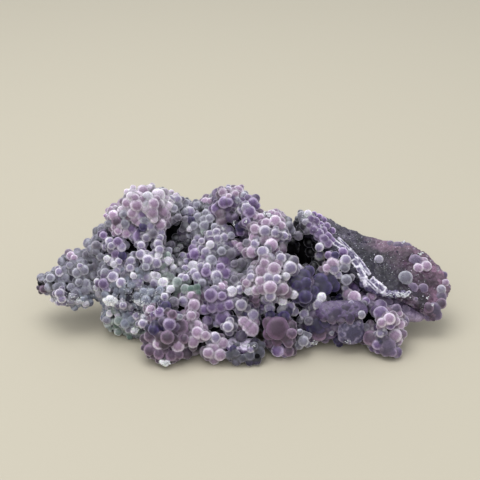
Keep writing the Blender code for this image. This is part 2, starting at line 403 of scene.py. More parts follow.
# Where the stone's colour and the size of its balls change, in millimetres
REGIONS = (
    Region((-78, 4, 17), Tone.WING, 1.3, 2.2, Tone.GREY),
    Region((-66, 6, 22), Tone.WING, 1.3, 2.2, Tone.GREY),
    Region((-58, 9, 30), Tone.WING, 1.4, 2.3, Tone.PALE),
    Region((-50, 8, 34), Tone.PALE, 1.3, 2.1, Tone.WING, 0.1),
    Region((-48, 14, 44), Tone.PINK, 1.4, 2.4, Tone.CROWN, 0.1),
    Region((-41, 12, 46), Tone.CROWN, 1.7, 2.8, Tone.PINK, 0.1),
    Region((-33, 14, 42), Tone.PALE, 1.4, 2.2, Tone.GREY, 0.3),
    Region((-40, 4, 36), Tone.CROWN, 1.5, 2.3, Tone.VIOLET, 0.2),
    Region((-42, -2, 27), Tone.DRUSE, 1.1, 1.9, Tone.PALE, 0.1),
    Region((-47, -10, 18), Tone.DRUSE, 1.0, 1.9, Tone.PALE),
    Region((-56, -4, 12), Tone.DRUSE, 1.0, 1.8, Tone.WHITE),
    Region((-50, -10, 6), Tone.TEAL, 1.0, 1.7, Tone.GREY),
    Region((-40, -14, 4), Tone.TEAL, 1.1, 1.7, Tone.WING, 0.2),
    Region((-30, 6, 26), Tone.GREY, 1.2, 1.9, Tone.WHITE, 0.3),
    Region((-27, -6, 20), Tone.TEAL, 1.2, 1.9, Tone.GREY, 0.4),
    Region((-24, 18, 40), Tone.GREY, 1.4, 2.3, Tone.VIOLET, 0.4),
    Region((-16, 16, 40), Tone.GREY, 1.5, 2.4, Tone.WING, 0.4),
    Region((-10, 4, 32), Tone.PALE, 1.5, 2.4, Tone.VIOLET, 0.2),
    Region((-14, -6, 26), Tone.PALE, 1.5, 2.4, Tone.VIOLET, 0.35),
    Region((-6, 14, 48), Tone.VIOLET, 1.6, 2.8, Tone.PINK, 0.4),
    Region((2, 12, 44), Tone.VIOLET, 1.6, 2.9, Tone.PINK, 0.5),
    Region((10, 6, 40), Tone.PINK, 1.6, 2.6, Tone.PALE, 0.3),
    Region((8, 0, 34), Tone.PINK, 1.7, 2.8, Tone.VIOLET, 0.4),
    Region((10, -12, 28), Tone.PALE, 1.7, 2.6, Tone.WHITE, 0.15),
    Region((0, -4, 24), Tone.GREY, 1.5, 2.3, Tone.INDIGO, 0.6),
    Region((-20, -16, 18), Tone.PINK, 1.6, 2.5, Tone.VIOLET, 0.4),
    Region((-30, -26, 12), Tone.MAROON, 1.8, 2.8, Tone.VIOLET, 0.4),
    Region((-30, -30, 4), Tone.MAROON, 1.6, 2.8, Tone.PINK, 0.4),
    Region((-16, -28, 6), Tone.PINK, 1.7, 2.7, Tone.MAROON, 0.7),
    Region((-6, -20, 16), Tone.VIOLET, 1.7, 2.8, Tone.INDIGO, 0.6),
    Region((2, -24, 10), Tone.VIOLET, 1.6, 2.6, Tone.INDIGO, 0.8),
    Region((0, -32, 3), Tone.WING, 1.5, 2.4, Tone.INDIGO, 0.6),
    Region((13, -26, 10), Tone.MAROON, 1.8, 3.0, Tone.VIOLET, 0.7),
    Region((22, -12, 24), Tone.INDIGO, 1.8, 3.2, Tone.VIOLET, 0.8),
    Region((32, -10, 22), Tone.INDIGO, 1.8, 3.2, Tone.VIOLET, 0.9),
    Region((28, -20, 10), Tone.VIOLET, 1.6, 2.6, Tone.INDIGO, 0.9),
    Region((40, -18, 14), Tone.VIOLET, 1.6, 2.6, Tone.INDIGO, 0.7),
    Region((56, -22, 10), Tone.PINK, 1.6, 2.7, Tone.VIOLET, 0.5),
    Region((56, -26, 3), Tone.MAROON, 1.6, 2.7, Tone.VIOLET, 0.3),
    Region((26, 8, 42), Tone.GREY, 1.2, 2.0, Tone.VIOLET, 0.1),
    Region((24, 10, 28), Tone.INDIGO, 1.6, 2.6, Tone.DARK, 1.0),
    Region((48, 4, 12), Tone.INDIGO, 1.6, 2.8, Tone.VIOLET, 0.8),
    Region((-30, 30, 14), Tone.WING, 1.8, 3.0, Tone.VIOLET, 0.3),
    Region((20, 28, 14), Tone.VIOLET, 1.8, 3.0, Tone.INDIGO, 0.4),
    Region((-45, 24, 38), Tone.WING, 1.6, 2.6, Tone.PALE, 0.2),
    Region((0, 26, 36), Tone.VIOLET, 1.6, 2.8, Tone.WING, 0.4),
)

# Hollows between the bunches, as seen in the photograph, where the ground is sunk and painted near black and nearby
# balls are left out or painted darker, as painted shade: pixel from the left, from the top, and radius
HOLLOWS = (
    (173, 232, 8), (170, 238, 6), (176, 227, 5), (171, 215, 3), (143, 247, 3), (131, 248, 6), (150, 249, 4), (139, 251, 3),
    (303, 234, 8), (303, 247, 11), (311, 258, 8), (297, 224, 5), (300, 262, 5), (310, 240, 8), (337, 290, 6), (331, 297, 6), (342, 299, 5), (332, 304, 3), (368, 330, 4), (364, 335, 4), (366, 315, 4),
    (342, 294, 4), (352, 272, 4), (354, 281, 4), (362, 292, 3), (234, 271, 5), (240.5, 254.5, 4), (191, 281, 4),
    (179, 309, 5), (202, 316, 5), (233.5, 313.5, 5), (177, 273.5, 5), (177, 263, 4), (259, 300, 4), (236, 332, 4),
    (228, 338, 4), (228, 347, 4), (242, 347, 4), (260, 325, 4), (261, 332, 4), (203, 344, 5), (299, 311, 4),
    (297, 322, 4), (305, 328, 4), (303, 325, 3), (327, 318, 3), (231, 213, 5), (221, 219, 4), (240, 237, 3),
    (288, 300, 3), (278, 312, 4), (247, 336, 4), (254, 339, 4), (233, 340, 5), (236, 360, 4), (224, 360, 4), (295, 340, 4), (368, 309, 3), (372, 318, 5), (372, 327, 4), (363, 320, 3), (346, 317, 2), (119, 287, 3),
    (104, 286, 2), (336, 306, 2), (265, 337, 3), (264, 316, 3), (212, 316, 3), (216, 329, 3), (126, 240, 3), (374, 305, 3), (252, 361, 4), (361, 298.5, 3),
)


@dataclass(frozen=True)
class Spots:
    """Balls that can be told apart in the photograph, all of one tone.

    Attributes:
        tone: Their colour.
        seen: Pixel from the left, pixel from the top and radius in pixels of each.
        flat: How far they are pressed flat, 1 for round balls.
    """

    tone: Tone
    seen: tuple[tuple[float, float, float], ...]
    flat: float = 1.0


SPOTS = (
    Spots(
        Tone.PINK,
        (
            (137, 192, 9), (143, 188.5, 6), (127, 203, 5), (135, 198, 4.5), (136.5, 205, 6.5), (143, 200, 5),
            (153, 204, 6), (152, 213, 6.5), (132.5, 213.5, 5.2), (135, 219.5, 4.5), (138, 223, 3), (162.5, 212, 6.5),
            (167, 215.5, 4), (160, 224, 6), (125.5, 233, 5), (118, 231, 4), (71, 256, 4.5), (74, 258, 3.5),
            (105.5, 215.5, 2.3), (113.5, 215, 5), (115, 227, 4), (205.5, 202.5, 5), (210, 201, 3.5), (223, 192.5, 4.6),
            (238, 191, 5.5), (235, 194, 4), (229, 196, 3), (254, 216.5, 3.5), (255, 229, 5), (254, 237.5, 5),
            (252, 252, 6), (234, 244, 4.4), (240, 245.5, 3.8), (241, 248.5, 4.5), (194, 305, 6.3), (191, 315.8, 5),
            (197, 326, 6), (197.6, 333, 6), (192.3, 341, 7), (205.5, 335.8, 5), (223, 343.4, 6), (213, 350.5, 8.4),
            (208, 352.6, 5.5), (220, 355, 6), (243.6, 322, 5.5), (247.5, 325.5, 6.2), (251.8, 329.5, 7.2),
            (256.6, 290, 5), (260.4, 281.4, 5.5), (262, 270.7, 6.5), (274.2, 269.2, 7), (270.3, 287.5, 7),
            (281.8, 288.3, 7), (246.6, 283, 4.5), (264.6, 263, 5), (260, 218, 5), (266, 223, 5), (271, 245, 7),
            (332.8, 263.7, 6.5), (326.7, 268.3, 4.5), (354.3, 297.4, 6.7), (348, 299.7, 4.5), (371, 297, 5.5),
            (389.5, 318.8, 6), (395.6, 321, 4.5), (381.8, 322.6, 4.8), (394.8, 335.6, 7), (398.7, 341, 4),
            (400, 324.2, 5), (399, 313.6, 4), (418, 268.4, 5.2), (426.3, 266.3, 5.5),
            (423.8, 261.4, 4.5), (445.4, 283, 4), (158.5, 343.5, 5.6), (178, 345, 6.8), (151, 310, 5),
            (221.4, 287, 4.5), (191.6, 295.7, 4.5), (275, 221, 6), (281, 226, 5), (272, 214.5, 5),
        ),
    ),
    Spots(
        Tone.PALE,
        (
            (150, 226.5, 4.7), (161.3, 233.4, 4), (159.6, 238, 4), (158, 243.7, 4.8), (159.3, 250, 4.6),
            (133, 237, 4.5), (141, 245, 4), (146.4, 237.4, 4.5), (141, 254.6, 5.2), (131, 261, 4.5), (148, 259.8, 5.5),
            (156, 263, 5.5), (170.5, 200, 4.8), (177.4, 199.5, 4.5), (190, 211.3, 5), (198, 238.6, 4.6), (194.5, 242.6, 3.5),
            (201.6, 241, 3.6), (209.6, 234, 4), (216.5, 231.7, 4), (217.6, 239, 4.4), (224, 237.4, 4.5), (183, 255.5, 3.8),
            (187, 262, 4), (201, 267, 4.8), (206, 252, 4.8), (202, 248.3, 4), (228, 190.3, 4.2), (240.6, 210.4, 4),
            (246.4, 207.6, 5), (185.3, 268.7, 4), (194, 272.7, 4.5), (197.3, 276.7, 5.2), (182, 278, 4.8), (186, 278, 4),
            (216, 276.5, 6), (207, 267, 4), (184, 301.4, 5.5), (164.6, 296.8, 4), (214.5, 290, 5), (217, 322.7, 5),
            (228, 326.5, 5.5), (214.5, 337.3, 5.8), (240, 289.5, 4.4), (251, 277.6, 4.5), (268.8, 279, 6),
            (270.3, 296, 5.5), (276.8, 278.7, 4.8), (290, 267.6, 7), (297, 268.4, 5.5), (241.3, 305, 5.8),
            (252.7, 315, 6), (259.6, 310.5, 4.8), (270, 308.2, 5.5), (289.5, 307.4, 5.8), (304.4, 314.4, 5.2),
            (319.5, 247.3, 4.6), (319.8, 255.3, 5.3), (345.5, 260.3, 5.8), (333.6, 269.8, 5.5), (338, 275, 4),
            (351.2, 304.3, 4.3), (357.3, 324.2, 4), (381, 329.5, 3.8), (380.3, 333.5, 4), (318.3, 305, 5.5),
            (113, 277, 5.5), (120.6, 283, 5), (106.8, 289, 4.5), (122.9, 305.2, 4), (136.7, 316, 4), (131.3, 312.8, 4),
            (142.8, 323.6, 4.5), (59.6, 272, 4.5), (59.6, 293.5, 5), (61.6, 298.6, 4.5), (56.5, 304, 3.5), (80, 266, 3.2),
            (109.6, 241.4, 4.5), (111.6, 246, 4), (105.5, 246.5, 4), (118.8, 261.3, 3.8), (130, 268, 4), (345, 288, 3.5),
            (251, 349.5, 3.5), (265, 231, 6), (275, 233, 4.4), (284, 236, 4.5), (255, 244, 4.5), (263, 252, 6), (281, 258, 5),
        ),
    ),
    Spots(
        Tone.CROWN,
        (
            (158, 195.5, 7.2), (131, 195, 5), (129, 209, 4.5), (146, 209, 4.6), (160, 204, 5), (168, 206, 4.6),
            (121, 210, 4), (154, 219, 4), (148, 184.5, 4), (166, 198, 4), (140, 210, 4), (120, 226, 4),
            (171, 193, 3.6), (176, 194, 3.4), (174, 190, 3), (115, 208, 3), (127, 192, 3.6), (133, 188, 3.4),
        ),
    ),
    Spots(
        Tone.WHITE,
        (
            (147.6, 195, 5.5), (146, 203, 4), (158.5, 254.6, 4), (167.6, 261, 4.6), (170.6, 261.3, 3.5), (173, 268, 4.2),
            (176.9, 250.4, 3.5), (180.4, 246.6, 3.5), (189.7, 229, 3.4), (210, 244.5, 4.3), (193.3, 265.6, 5.2),
            (221.7, 230, 2.5), (163.4, 282, 5), (170.3, 289.2, 4.2), (156.6, 276, 4.2), (153.5, 274.6, 3.5),
            (133.2, 275.7, 3.5), (96.9, 281.5, 3.3), (96.1, 288, 3.3), (117.2, 314.4, 3.2), (109.5, 313.6, 3.5),
            (107, 258.8, 3.8), (113.7, 264.4, 3.6), (231.8, 291.2, 5.4), (248.5, 290.6, 4.8), (286, 276.4, 4.5),
            (292.9, 294.4, 4.8), (282.2, 300.2, 5.2), (322, 297, 4.6), (420.9, 254.3, 3), (300, 214, 4),
            (308, 213.5, 4), (266, 215, 4), (52.4, 300.5, 3.2), (134.4, 331.2, 3.6), (315.2, 342.3, 2.8),
        ),
    ),
    Spots(
        Tone.GREY,
        (
            (160, 191, 4), (144.7, 220.8, 4.5), (124.6, 224, 5), (123, 214.4, 4), (133.8, 255.2, 4.2), (145.8, 266.7, 4),
            (168.8, 250.6, 3.8), (190, 235.5, 3.3), (178.6, 205.3, 4), (174, 208.7, 4), (186, 203, 4), (185, 212, 4),
            (197, 205.3, 4), (198, 216.7, 4.2), (203.8, 219.6, 4.2), (206, 213, 4), (204, 226, 5), (194, 226, 4),
            (210, 218.5, 4.5), (214, 226.5, 3.5), (231.4, 235.7, 3.8), (221.7, 251, 4.5), (211.3, 260.4, 5.5),
            (217.4, 281.3, 4.5), (202.5, 282.5, 4), (244, 196, 4.2), (237, 200, 3.5), (100.4, 256.7, 4), (105.5, 273, 5),
            (50.4, 278, 4.5), (70.8, 287.3, 4), (79, 282, 4), (86, 283.3, 4.5), (84, 270, 5), (77, 273, 5), (45.3, 294, 3.5),
            (405.5, 277.9, 7.3), (346.2, 279.8, 5.7), (345, 267.5, 5), (331.7, 333.3, 2.6), (308.4, 335.6, 3.6),
            (299.9, 331.8, 3.2), (303.2, 341, 5.5), (179.5, 316.9, 3.5), (128.3, 329.7, 3.5), (302, 216, 5), (291, 230, 4.5),
        ),
    ),
    Spots(
        Tone.VIOLET,
        (
            (140.7, 236.5, 8.4), (142.4, 214, 5), (131.5, 228, 5), (195, 254, 6), (204.4, 257.5, 4), (224, 202.4, 6),
            (228.6, 202, 4.6), (220, 205.5, 5.4), (216.5, 208.7, 5.6), (239, 204.7, 5), (249.2, 212, 6.5), (252.7, 203, 5.5),
            (256, 206, 4.5), (246.4, 222, 4.8), (240.6, 232.5, 4), (223.8, 261.2, 6.2), (220.7, 267.3, 4.5),
            (224.9, 273.3, 6), (206, 272, 5), (169.4, 324, 6.5), (159.6, 312.8, 5.2), (211, 295.3, 7), (222, 296, 4.5),
            (212.5, 307.5, 5.4), (220.8, 306.6, 5.5), (229, 305, 5.2), (204, 309.9, 5.2), (223, 318, 8.4),
            (254.3, 305, 5), (262, 306, 4), (342.6, 252.8, 5.6),
            (328.6, 255, 4.2), (354.3, 287.6, 6.5), (381, 313.4, 7.5),
            (377.2, 344.8, 5), (117.8, 242, 5),
            (115.7, 253.7, 4.5), (142, 250, 4.5), (103.8, 283.8, 5.5), (103.5, 235.3, 4), (278, 350.3, 6.8), (366, 301, 4),
        ),
    ),
    Spots(
        Tone.INDIGO,
        (
            (143, 227, 4), (190.6, 220, 4), (240, 227, 5), (121.8, 255.7, 4.5), (165.7, 306.5, 5.5), (270.3, 315, 5),
            (296.6, 286, 5.5), (305.3, 296.6, 7), (314, 291, 5),
            (335.5, 255, 4), (339.7, 297.4, 4), (319, 325, 8.5), (337.4, 339.5, 5), (381, 340.5, 5),
            (284, 316.6, 6), (242.7, 314.6, 4), (153.5, 329.7, 5.5), (233, 349, 4),
        ),
    ),
    Spots(
        Tone.MAROON,
        (
            (292.5, 325, 4.6), (291.8, 333.5, 5.4), (268.8, 342.6, 5), (288.7, 351.5, 5.3),
            (288.5, 342.6, 5), (180.3, 326.6, 8.4), (167.3, 337.3, 7), (172, 314.6, 5), (157.3, 334.3, 4),
            (150, 336, 6), (149.7, 350, 6), (158.9, 354.2, 5.2), (171, 355.7, 5.5), (165.7, 350.3, 4), (179.5, 354.9, 4),
            (184, 338.9, 5), (319, 332.8, 8.4), (370.3, 338, 7.5),
            (428, 307.8, 5.5), (441.2, 303.6, 5.5), (43.5, 289, 4.2), (116.7, 221, 5), (256, 300, 4),
        ),
    ),
    # Grey-violet balls that lie in shade, painted darker as painted shade.
    Spots(
        Tone.DIM,
        (
            (152.7, 233.4, 5), (171, 245, 4.4), (182, 229.4, 3.2), (183, 237.4, 4), (168.2, 225.3, 3.2), (173.4, 220, 3.8),
            (178, 217.3, 4), (185.4, 219.6, 4), (230.9, 253.5, 6), (246.4, 242.6, 4), (241, 263, 5.2), (234.3, 263.8, 4),
            (234.6, 279.6, 4.5), (240.4, 277.3, 4.5), (173.8, 302, 5.5), (300.2, 319.7, 4), (308.4, 321, 4.4),
            (365.7, 327.2, 4), (363.5, 304.3, 4), (351.2, 277.5, 4), (298.3, 235.8, 4.6), (307, 231, 4),
            (123.7, 275.4, 3.5), (95.3, 266, 4), (96.3, 245.5, 5), (87, 254.7, 4.5), (250, 259, 4.5),
        ),
    ),
    Spots(
        Tone.VIOLET,
        (
            (311, 219, 4), (316, 221, 4.2), (320, 225, 4.4), (314, 214.5, 3.6), (319, 217, 3.8), (323.5, 220.5, 4),
            (327, 226, 4), (309, 225, 3.6), (313.5, 230, 5), (319, 233.5, 5.2), (324, 239, 5), (328, 243.5, 4.6),
            (317, 227, 4.4), (323, 231, 4.6), (328, 236.5, 4.6), (332, 231, 4), (332, 241, 4), (390.2, 325, 5),
        ),
        0.8,
    ),
    Spots(
        Tone.INDIGO,
        (
            (303, 276, 7.5), (309, 271, 6), (306, 283, 6), (299, 281, 6), (320, 281, 8), (330, 280, 7), (334, 286, 6.5),
            (325, 288, 7.5), (317, 288, 6), (328, 274, 5), (318, 325, 8), (312, 330, 6), (325, 322, 6),
        ),
        0.5,
    ),
    Spots(
        Tone.SLATE,
        (
            (229.8, 355, 4.6), (236, 353.3, 4), (242, 358.2, 4.5), (250, 355.4, 5), (259, 352.6, 6.5), (246, 350, 4),
            (254, 346, 4.5), (237, 346, 4), (262, 345, 4),
        ),
        0.45,
    ),
    Spots(
        Tone.LILAC,
        (
            (343, 323, 4.2), (350, 321, 4), (357, 325, 4.6), (360, 331, 4), (357, 338, 4.4), (349, 341, 4.2),
            (342, 338, 4.2), (339.5, 330, 4), (349, 331, 7), (324, 318, 4), (332, 320, 4.6), (336, 327, 4.2), (333, 335, 4.6),
            (325, 339, 4.6), (316, 338, 4.4), (312, 337, 4),
        ),
        0.6,
    ),
    Spots(
        Tone.PLUM,
        ((328, 309, 6.5), (337, 313, 7), (346, 310, 7), (355, 310, 6), (322, 312, 5), (361, 312, 4.5), (350, 317, 5), (331, 317, 5)),
        0.35,
    ),
    Spots(
        Tone.WINE,
        ((277.5, 328.3, 12.0), (268.5, 323, 6.5), (269, 334, 6.5), (285, 320.5, 6), (286, 336.5, 6.5), (277, 340, 6)),
        0.45,
    ),
    Spots(
        Tone.LILAC,
        (
            (381, 299, 5), (387, 303, 6), (394, 301, 6.5), (402, 303, 6.5), (409, 303, 6), (414, 301, 5), (396, 309, 5.5),
            (405, 310, 5.5), (413, 288, 5.5), (423, 288.5, 5.5), (434, 309, 7), (429, 316, 5.5), (437, 315, 5.5),
            (398, 247, 6), (390, 245, 5), (407, 248, 6), (404, 243, 4), (415, 261, 7), (441, 298, 6), (388, 345, 8), (385.6, 350, 5),
            (382, 338, 6), (395, 339, 6), (386, 351, 6), (378, 345, 5.5), (444, 275, 4), (392, 352, 5),
        ),
        0.5,
    ),
    Spots(Tone.DRUSE, ((125.2, 323.6, 5), (131, 320, 4), (126, 316, 4), (146, 300, 4.6), (152, 305, 4.4), (158, 299, 4.2), (151, 293, 4.6), (160, 290, 4), (144, 292, 4.2), (137, 296, 4))),
    Spots(
        Tone.SNOW,
        (
            (106, 300, 3.4), (110, 298.5, 3.6), (114.5, 300.5, 3.4), (108, 303.4, 3), (112.4, 303.5, 3), (139.7, 302.6, 3.4),
            (136, 301, 2.5), (142.8, 317.4, 3.2), (139, 315.6, 2.4), (134.8, 297.3, 2), (166, 363.5, 3.4), (162, 362.5, 2.6),
        ),
    ),
    # Near-black lumps that fill the cave between the middle and the blade's root, as painted shade.
    Spots(Tone.DARK, ((298, 224, 5.5), (301, 229, 5.5), (296, 230, 5), (300, 220, 4.5), (304, 226, 4.5)), 0.6),
    Spots(Tone.FROST, ((310.6, 301.2, 3.8), (378.8, 259.6, 4.7), (361.2, 314.6, 4.5), (441.2, 289.5, 4.8), (305.4, 221.8, 3.5))),
    Spots(Tone.TEAL, ((167.3, 255.7, 4), (204, 231.7, 3.5), (185.3, 288.8, 5), (119, 320.5, 5), (118.3, 331.2, 4.5), (177, 282, 5))),
    Spots(Tone.GREEN, ((196.7, 287.6, 4), (191, 289, 4), (198, 292.8, 3.5), (129.8, 336.5, 3.5), (116.8, 325, 4), (201, 287, 3))),
)


def smoothstep(low: float, high: float, value: np.ndarray) -> np.ndarray:
    """Rises smoothly from 0 at low to 1 at high, or falls where high is the lesser."""
    t = np.clip((value - low) / (high - low), 0.0, 1.0)
    return t * t * (3 - 2 * t)


def deselect() -> None:
    """Leaves nothing selected."""
    if bpy.context.object and bpy.context.object.mode != "OBJECT":
        bpy.ops.object.mode_set(mode="OBJECT")
    bpy.ops.object.select_all(action="DESELECT")


def apply_modifier(piece: bpy.types.Object, kind: str, **settings: object) -> None:
    """Adds a modifier to a piece and applies it.

    Args:
        piece: The object that it works on.
        kind: The modifier's type.
        **settings: Values of its settings.
    """
    deselect()
    modifier = piece.modifiers.new(kind.lower(), kind)
    for name, value in settings.items():
        setattr(modifier, name, value)
    bpy.context.view_layer.objects.active = piece
    piece.select_set(True)
    bpy.ops.object.modifier_apply(modifier=modifier.name)
    deselect()


def read_mesh(piece: bpy.types.Object) -> tuple[np.ndarray, np.ndarray]:
    """Gives the places of a mesh's vertices and its triangles, whose faces must be triangles.

    Args:
        piece: The object to read.

    Returns:
        The vertices and the triangles' corners.
    """
    mesh = piece.data
    places = np.empty(len(mesh.vertices) * 3, np.float32)
    mesh.vertices.foreach_get("co", places)
    corners = np.empty(len(mesh.loops), np.int32)
    mesh.loops.foreach_get("vertex_index", corners)
    return places.reshape(-1, 3), corners.reshape(-1, 3)


def write_mesh(name: str, places: np.ndarray, corners: np.ndarray) -> bpy.types.Object:
    """Makes an object out of vertices and triangles.

    Args:
        name: The object's name.
        places: The vertices.
        corners: The triangles' corners.

    Returns:
        The new object.
    """
    mesh = bpy.data.meshes.new(name)
    mesh.vertices.add(len(places))
    mesh.vertices.foreach_set("co", places.astype(np.float32).ravel())
    mesh.loops.add(corners.size)
    mesh.loops.foreach_set("vertex_index", corners.astype(np.int32).ravel())
    mesh.polygons.add(len(corners))
    mesh.polygons.foreach_set("loop_start", np.arange(0, corners.size, 3, dtype=np.int32))
    mesh.polygons.foreach_set("loop_total", np.full(len(corners), 3, np.int32))
    mesh.update(calc_edges=True)
    piece = bpy.data.objects.new(name, mesh)
    bpy.context.scene.collection.objects.link(piece)
    return piece


def prototype_ball() -> tuple[np.ndarray, np.ndarray]:
    """Models the round ball that every grape is copied from, and gives its mesh."""
    deselect()
    bpy.ops.mesh.primitive_ico_sphere_add(subdivisions=3, radius=1.0)
    ball = bpy.context.object
    mesh = read_mesh(ball)
    bpy.data.objects.remove(ball)
    return mesh


def normals_of(piece: bpy.types.Object) -> np.ndarray:
    """Gives the outward direction at each vertex of a piece."""
    normals = np.empty(len(piece.data.vertices) * 3, np.float32)
    piece.data.vertices.foreach_get("normal", normals)
    return normals.reshape(-1, 3)


def tree_of(pieces: list[bpy.types.Object]) -> BVHTree:
    """Makes one search tree of several meshes of triangles."""
    places, corners, count = [], [], 0
    for piece in pieces:
        some, faces = read_mesh(piece)
        places.append(some)
        corners.append(faces + count)
        count += len(some)
    return BVHTree.FromPolygons(np.concatenate(places).tolist(), np.concatenate(corners).tolist())


def meet(tree: BVHTree, view: Viewpoint, x: float, y: float) -> tuple[Vector, Vector, float] | None:
    """Finds where the line of sight through a pixel meets a skin, or passes it closest.

    Args:
        tree: The skin.
        view: The camera.
        x: Pixel from the left.
        y: Pixel from the top.

    Returns:
        The point, the outward direction there and the gap that is left, or None where the line misses by far.
    """
    start = Vector(view.place)
    ray = view.ray(x, y)
    hit, normal, _, _ = tree.ray_cast(start, ray)
    if hit is not None:
        return hit, normal, 0.0
    best = None
    for step in range(360, 520):
        point = start + ray * step
        near, normal, _, gap = tree.find_nearest(point)
        if best is None or gap < best[2]:
            best = (point, (point - near).normalized(), gap)
    return best if best[2] < 3.5 else None


def paint(piece: bpy.types.Object, colours: np.ndarray) -> None:
    """Writes one colour for each vertex of a piece.

    Args:
        piece: The object to paint.
        colours: Linear red, green and blue, one row for each vertex.
    """
    layer = piece.data.color_attributes.new("tone", "FLOAT_COLOR", "POINT")
    four = np.ones((len(colours), 4), np.float32)
    four[:, :3] = np.clip(colours, 0.0, 1.0)
    layer.data.foreach_set("color", four.ravel())
    piece.data.color_attributes.active_color = layer


def settle(piece: bpy.types.Object, finish: Finish) -> bpy.types.Object:
    """Scales a piece to metres, smooths and dresses it, and ties it to the stone.

    Args:
        piece: The object, with its mesh in millimetres.
        finish: What its surface is like.

    Returns:
        The same object.
    """
    piece.data.transform(Matrix.Scale(MM, 4))
    piece.data.polygons.foreach_set("use_smooth", np.ones(len(piece.data.polygons), bool))
    piece.data.materials.clear()
    piece.data.materials.append(finish.build())
    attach(piece, "root")
    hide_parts(NODE)
    LOG.info("%s has %d faces", piece.name, len(piece.data.polygons))
    return piece


@dataclass
class Surface:
    """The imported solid's skin, in millimetres, that everything else sits on."""

    solid: bpy.types.Object
    skin: bpy.types.Object = field(init=False)
    tree: BVHTree = field(init=False)
    places: np.ndarray = field(init=False)
    corners: np.ndarray = field(init=False)

    def __post_init__(self) -> None:
        """Copies the solid's mesh, merges its loose triangles and reads it."""
        mesh = self.solid.data.copy()
        self.skin = bpy.data.objects.new("crust", mesh)
        bpy.context.scene.collection.objects.link(self.skin)
        mesh.transform(Matrix.Scale(1 / MM, 4))
        made = bmesh.new()
        made.from_mesh(mesh)
        bmesh.ops.remove_doubles(made, verts=made.verts, dist=0.001)
        bmesh.ops.triangulate(made, faces=made.faces)
        made.to_mesh(mesh)
        self.tree = BVHTree.FromBMesh(made)
        made.free()
        self.places, self.corners = read_mesh(self.skin)

    def samples(self, count: int, rng: np.random.Generator) -> tuple[np.ndarray, np.ndarray]:
        """Spreads points evenly over the skin.

        Args:
            count: How many.
            rng: Where chance comes from.

        Returns:
            The points and the skin's outward directions there.
        """
        a, b, c = (self.places[self.corners[:, k]] for k in range(3))
        across = np.cross(b - a, c - a)
        area = np.linalg.norm(across, axis=1)
        pick = rng.choice(len(area), count, p=area / area.sum())
        u, v = rng.random((2, count, 1))
        fold = (u + v) > 1
        u, v = np.where(fold, 1 - u, u), np.where(fold, 1 - v, v)
        points = a[pick] * (1 - u - v) + b[pick] * u + c[pick] * v
        return points, across[pick] / area[pick, None]

    def seen_at(self, view: Viewpoint, x: float, y: float) -> tuple[Vector, Vector, float] | None:
        """Finds where the line of sight through a pixel meets the skin."""
        return meet(self.tree, view, x, y)

    def sink(self, depth: Callable[[np.ndarray], np.ndarray]) -> None:
        """Evens out the skin and draws it in, so that only the dark ground of the gaps is left of it.

        Args:
            depth: Gives how far the skin goes in at each point, in millimetres.
        """
        apply_modifier(self.skin, "REMESH", mode="VOXEL", voxel_size=0.7)
        apply_modifier(self.skin, "TRIANGULATE")
        places, _ = read_mesh(self.skin)
        places = places - normals_of(self.skin) * depth(places)[:, None]
        self.skin.data.vertices.foreach_set("co", places.astype(np.float32).ravel())
        apply_modifier(self.skin, "SMOOTH", factor=0.5, iterations=2)

    def shelter(self, points: np.ndarray, outs: np.ndarray, reach: float = 12.0) -> np.ndarray:
        """Measures how enclosed points on the skin are.

        Args:
            points: The points.
            outs: The outward directions there.
            reach: How far a wall may be to count, in millimetres.

        Returns:
            From 0 in the open to 1 deep in a hollow, for each point.
        """
        directions = [Vector(d) for d in fibonacci(26)]
        covered = np.zeros(len(points))
        for index, (point, out) in enumerate(zip(points, outs)):
            start = Vector(point) + Vector(out) * 1.2
            facing = [d for d in directions if d.dot(Vector(out)) > 0.15]
            blocked = sum(self.tree.ray_cast(start, d, reach)[0] is not None for d in facing)
            covered[index] = blocked / len(facing)
        return covered


def fibonacci(count: int) -> np.ndarray:
    """Spreads directions evenly over a sphere."""
    k = np.arange(count) + 0.5
    z = 1 - 2 * k / count
    flat = np.sqrt(1 - z * z)
    turn = math.pi * (1 + 5**0.5) * k
    return np.stack([flat * np.cos(turn), flat * np.sin(turn), z], 1)


class Crowd:
    """Balls placed so far, in a grid that finds the near ones quickly."""

    CELL = 6.0

    def __init__(self) -> None:
        """Starts with no balls."""
        self.cells: dict[tuple[int, int, int], list[tuple[np.ndarray, float]]] = {}

    def _key(self, place: np.ndarray) -> tuple[int, int, int]:
        """Gives the grid cell of a place."""
        return tuple(int(v) for v in np.floor(place / self.CELL))

    def add(self, place: np.ndarray, radius: float) -> None:
        """Adds a ball."""
        self.cells.setdefault(self._key(place), []).append((place, radius))

    def free(self, place: np.ndarray, radius: float, closeness: float) -> bool:
        """Tells whether a ball has room.

        Args:
            place: Its centre.
            radius: Its radius.
            closeness: Least distance between two centres, as a share of the sum of the radii.

        Returns:
            True where no other ball is too near.
        """
        x, y, z = self._key(place)
        for i in (x - 1, x, x + 1):
            for j in (y - 1, y, y + 1):
                for k in (z - 1, z, z + 1):
                    for other, size in self.cells.get((i, j, k), ()):
                        if np.dot(place - other, place - other) < (closeness * (radius + size)) ** 2:
                            return False
        return True


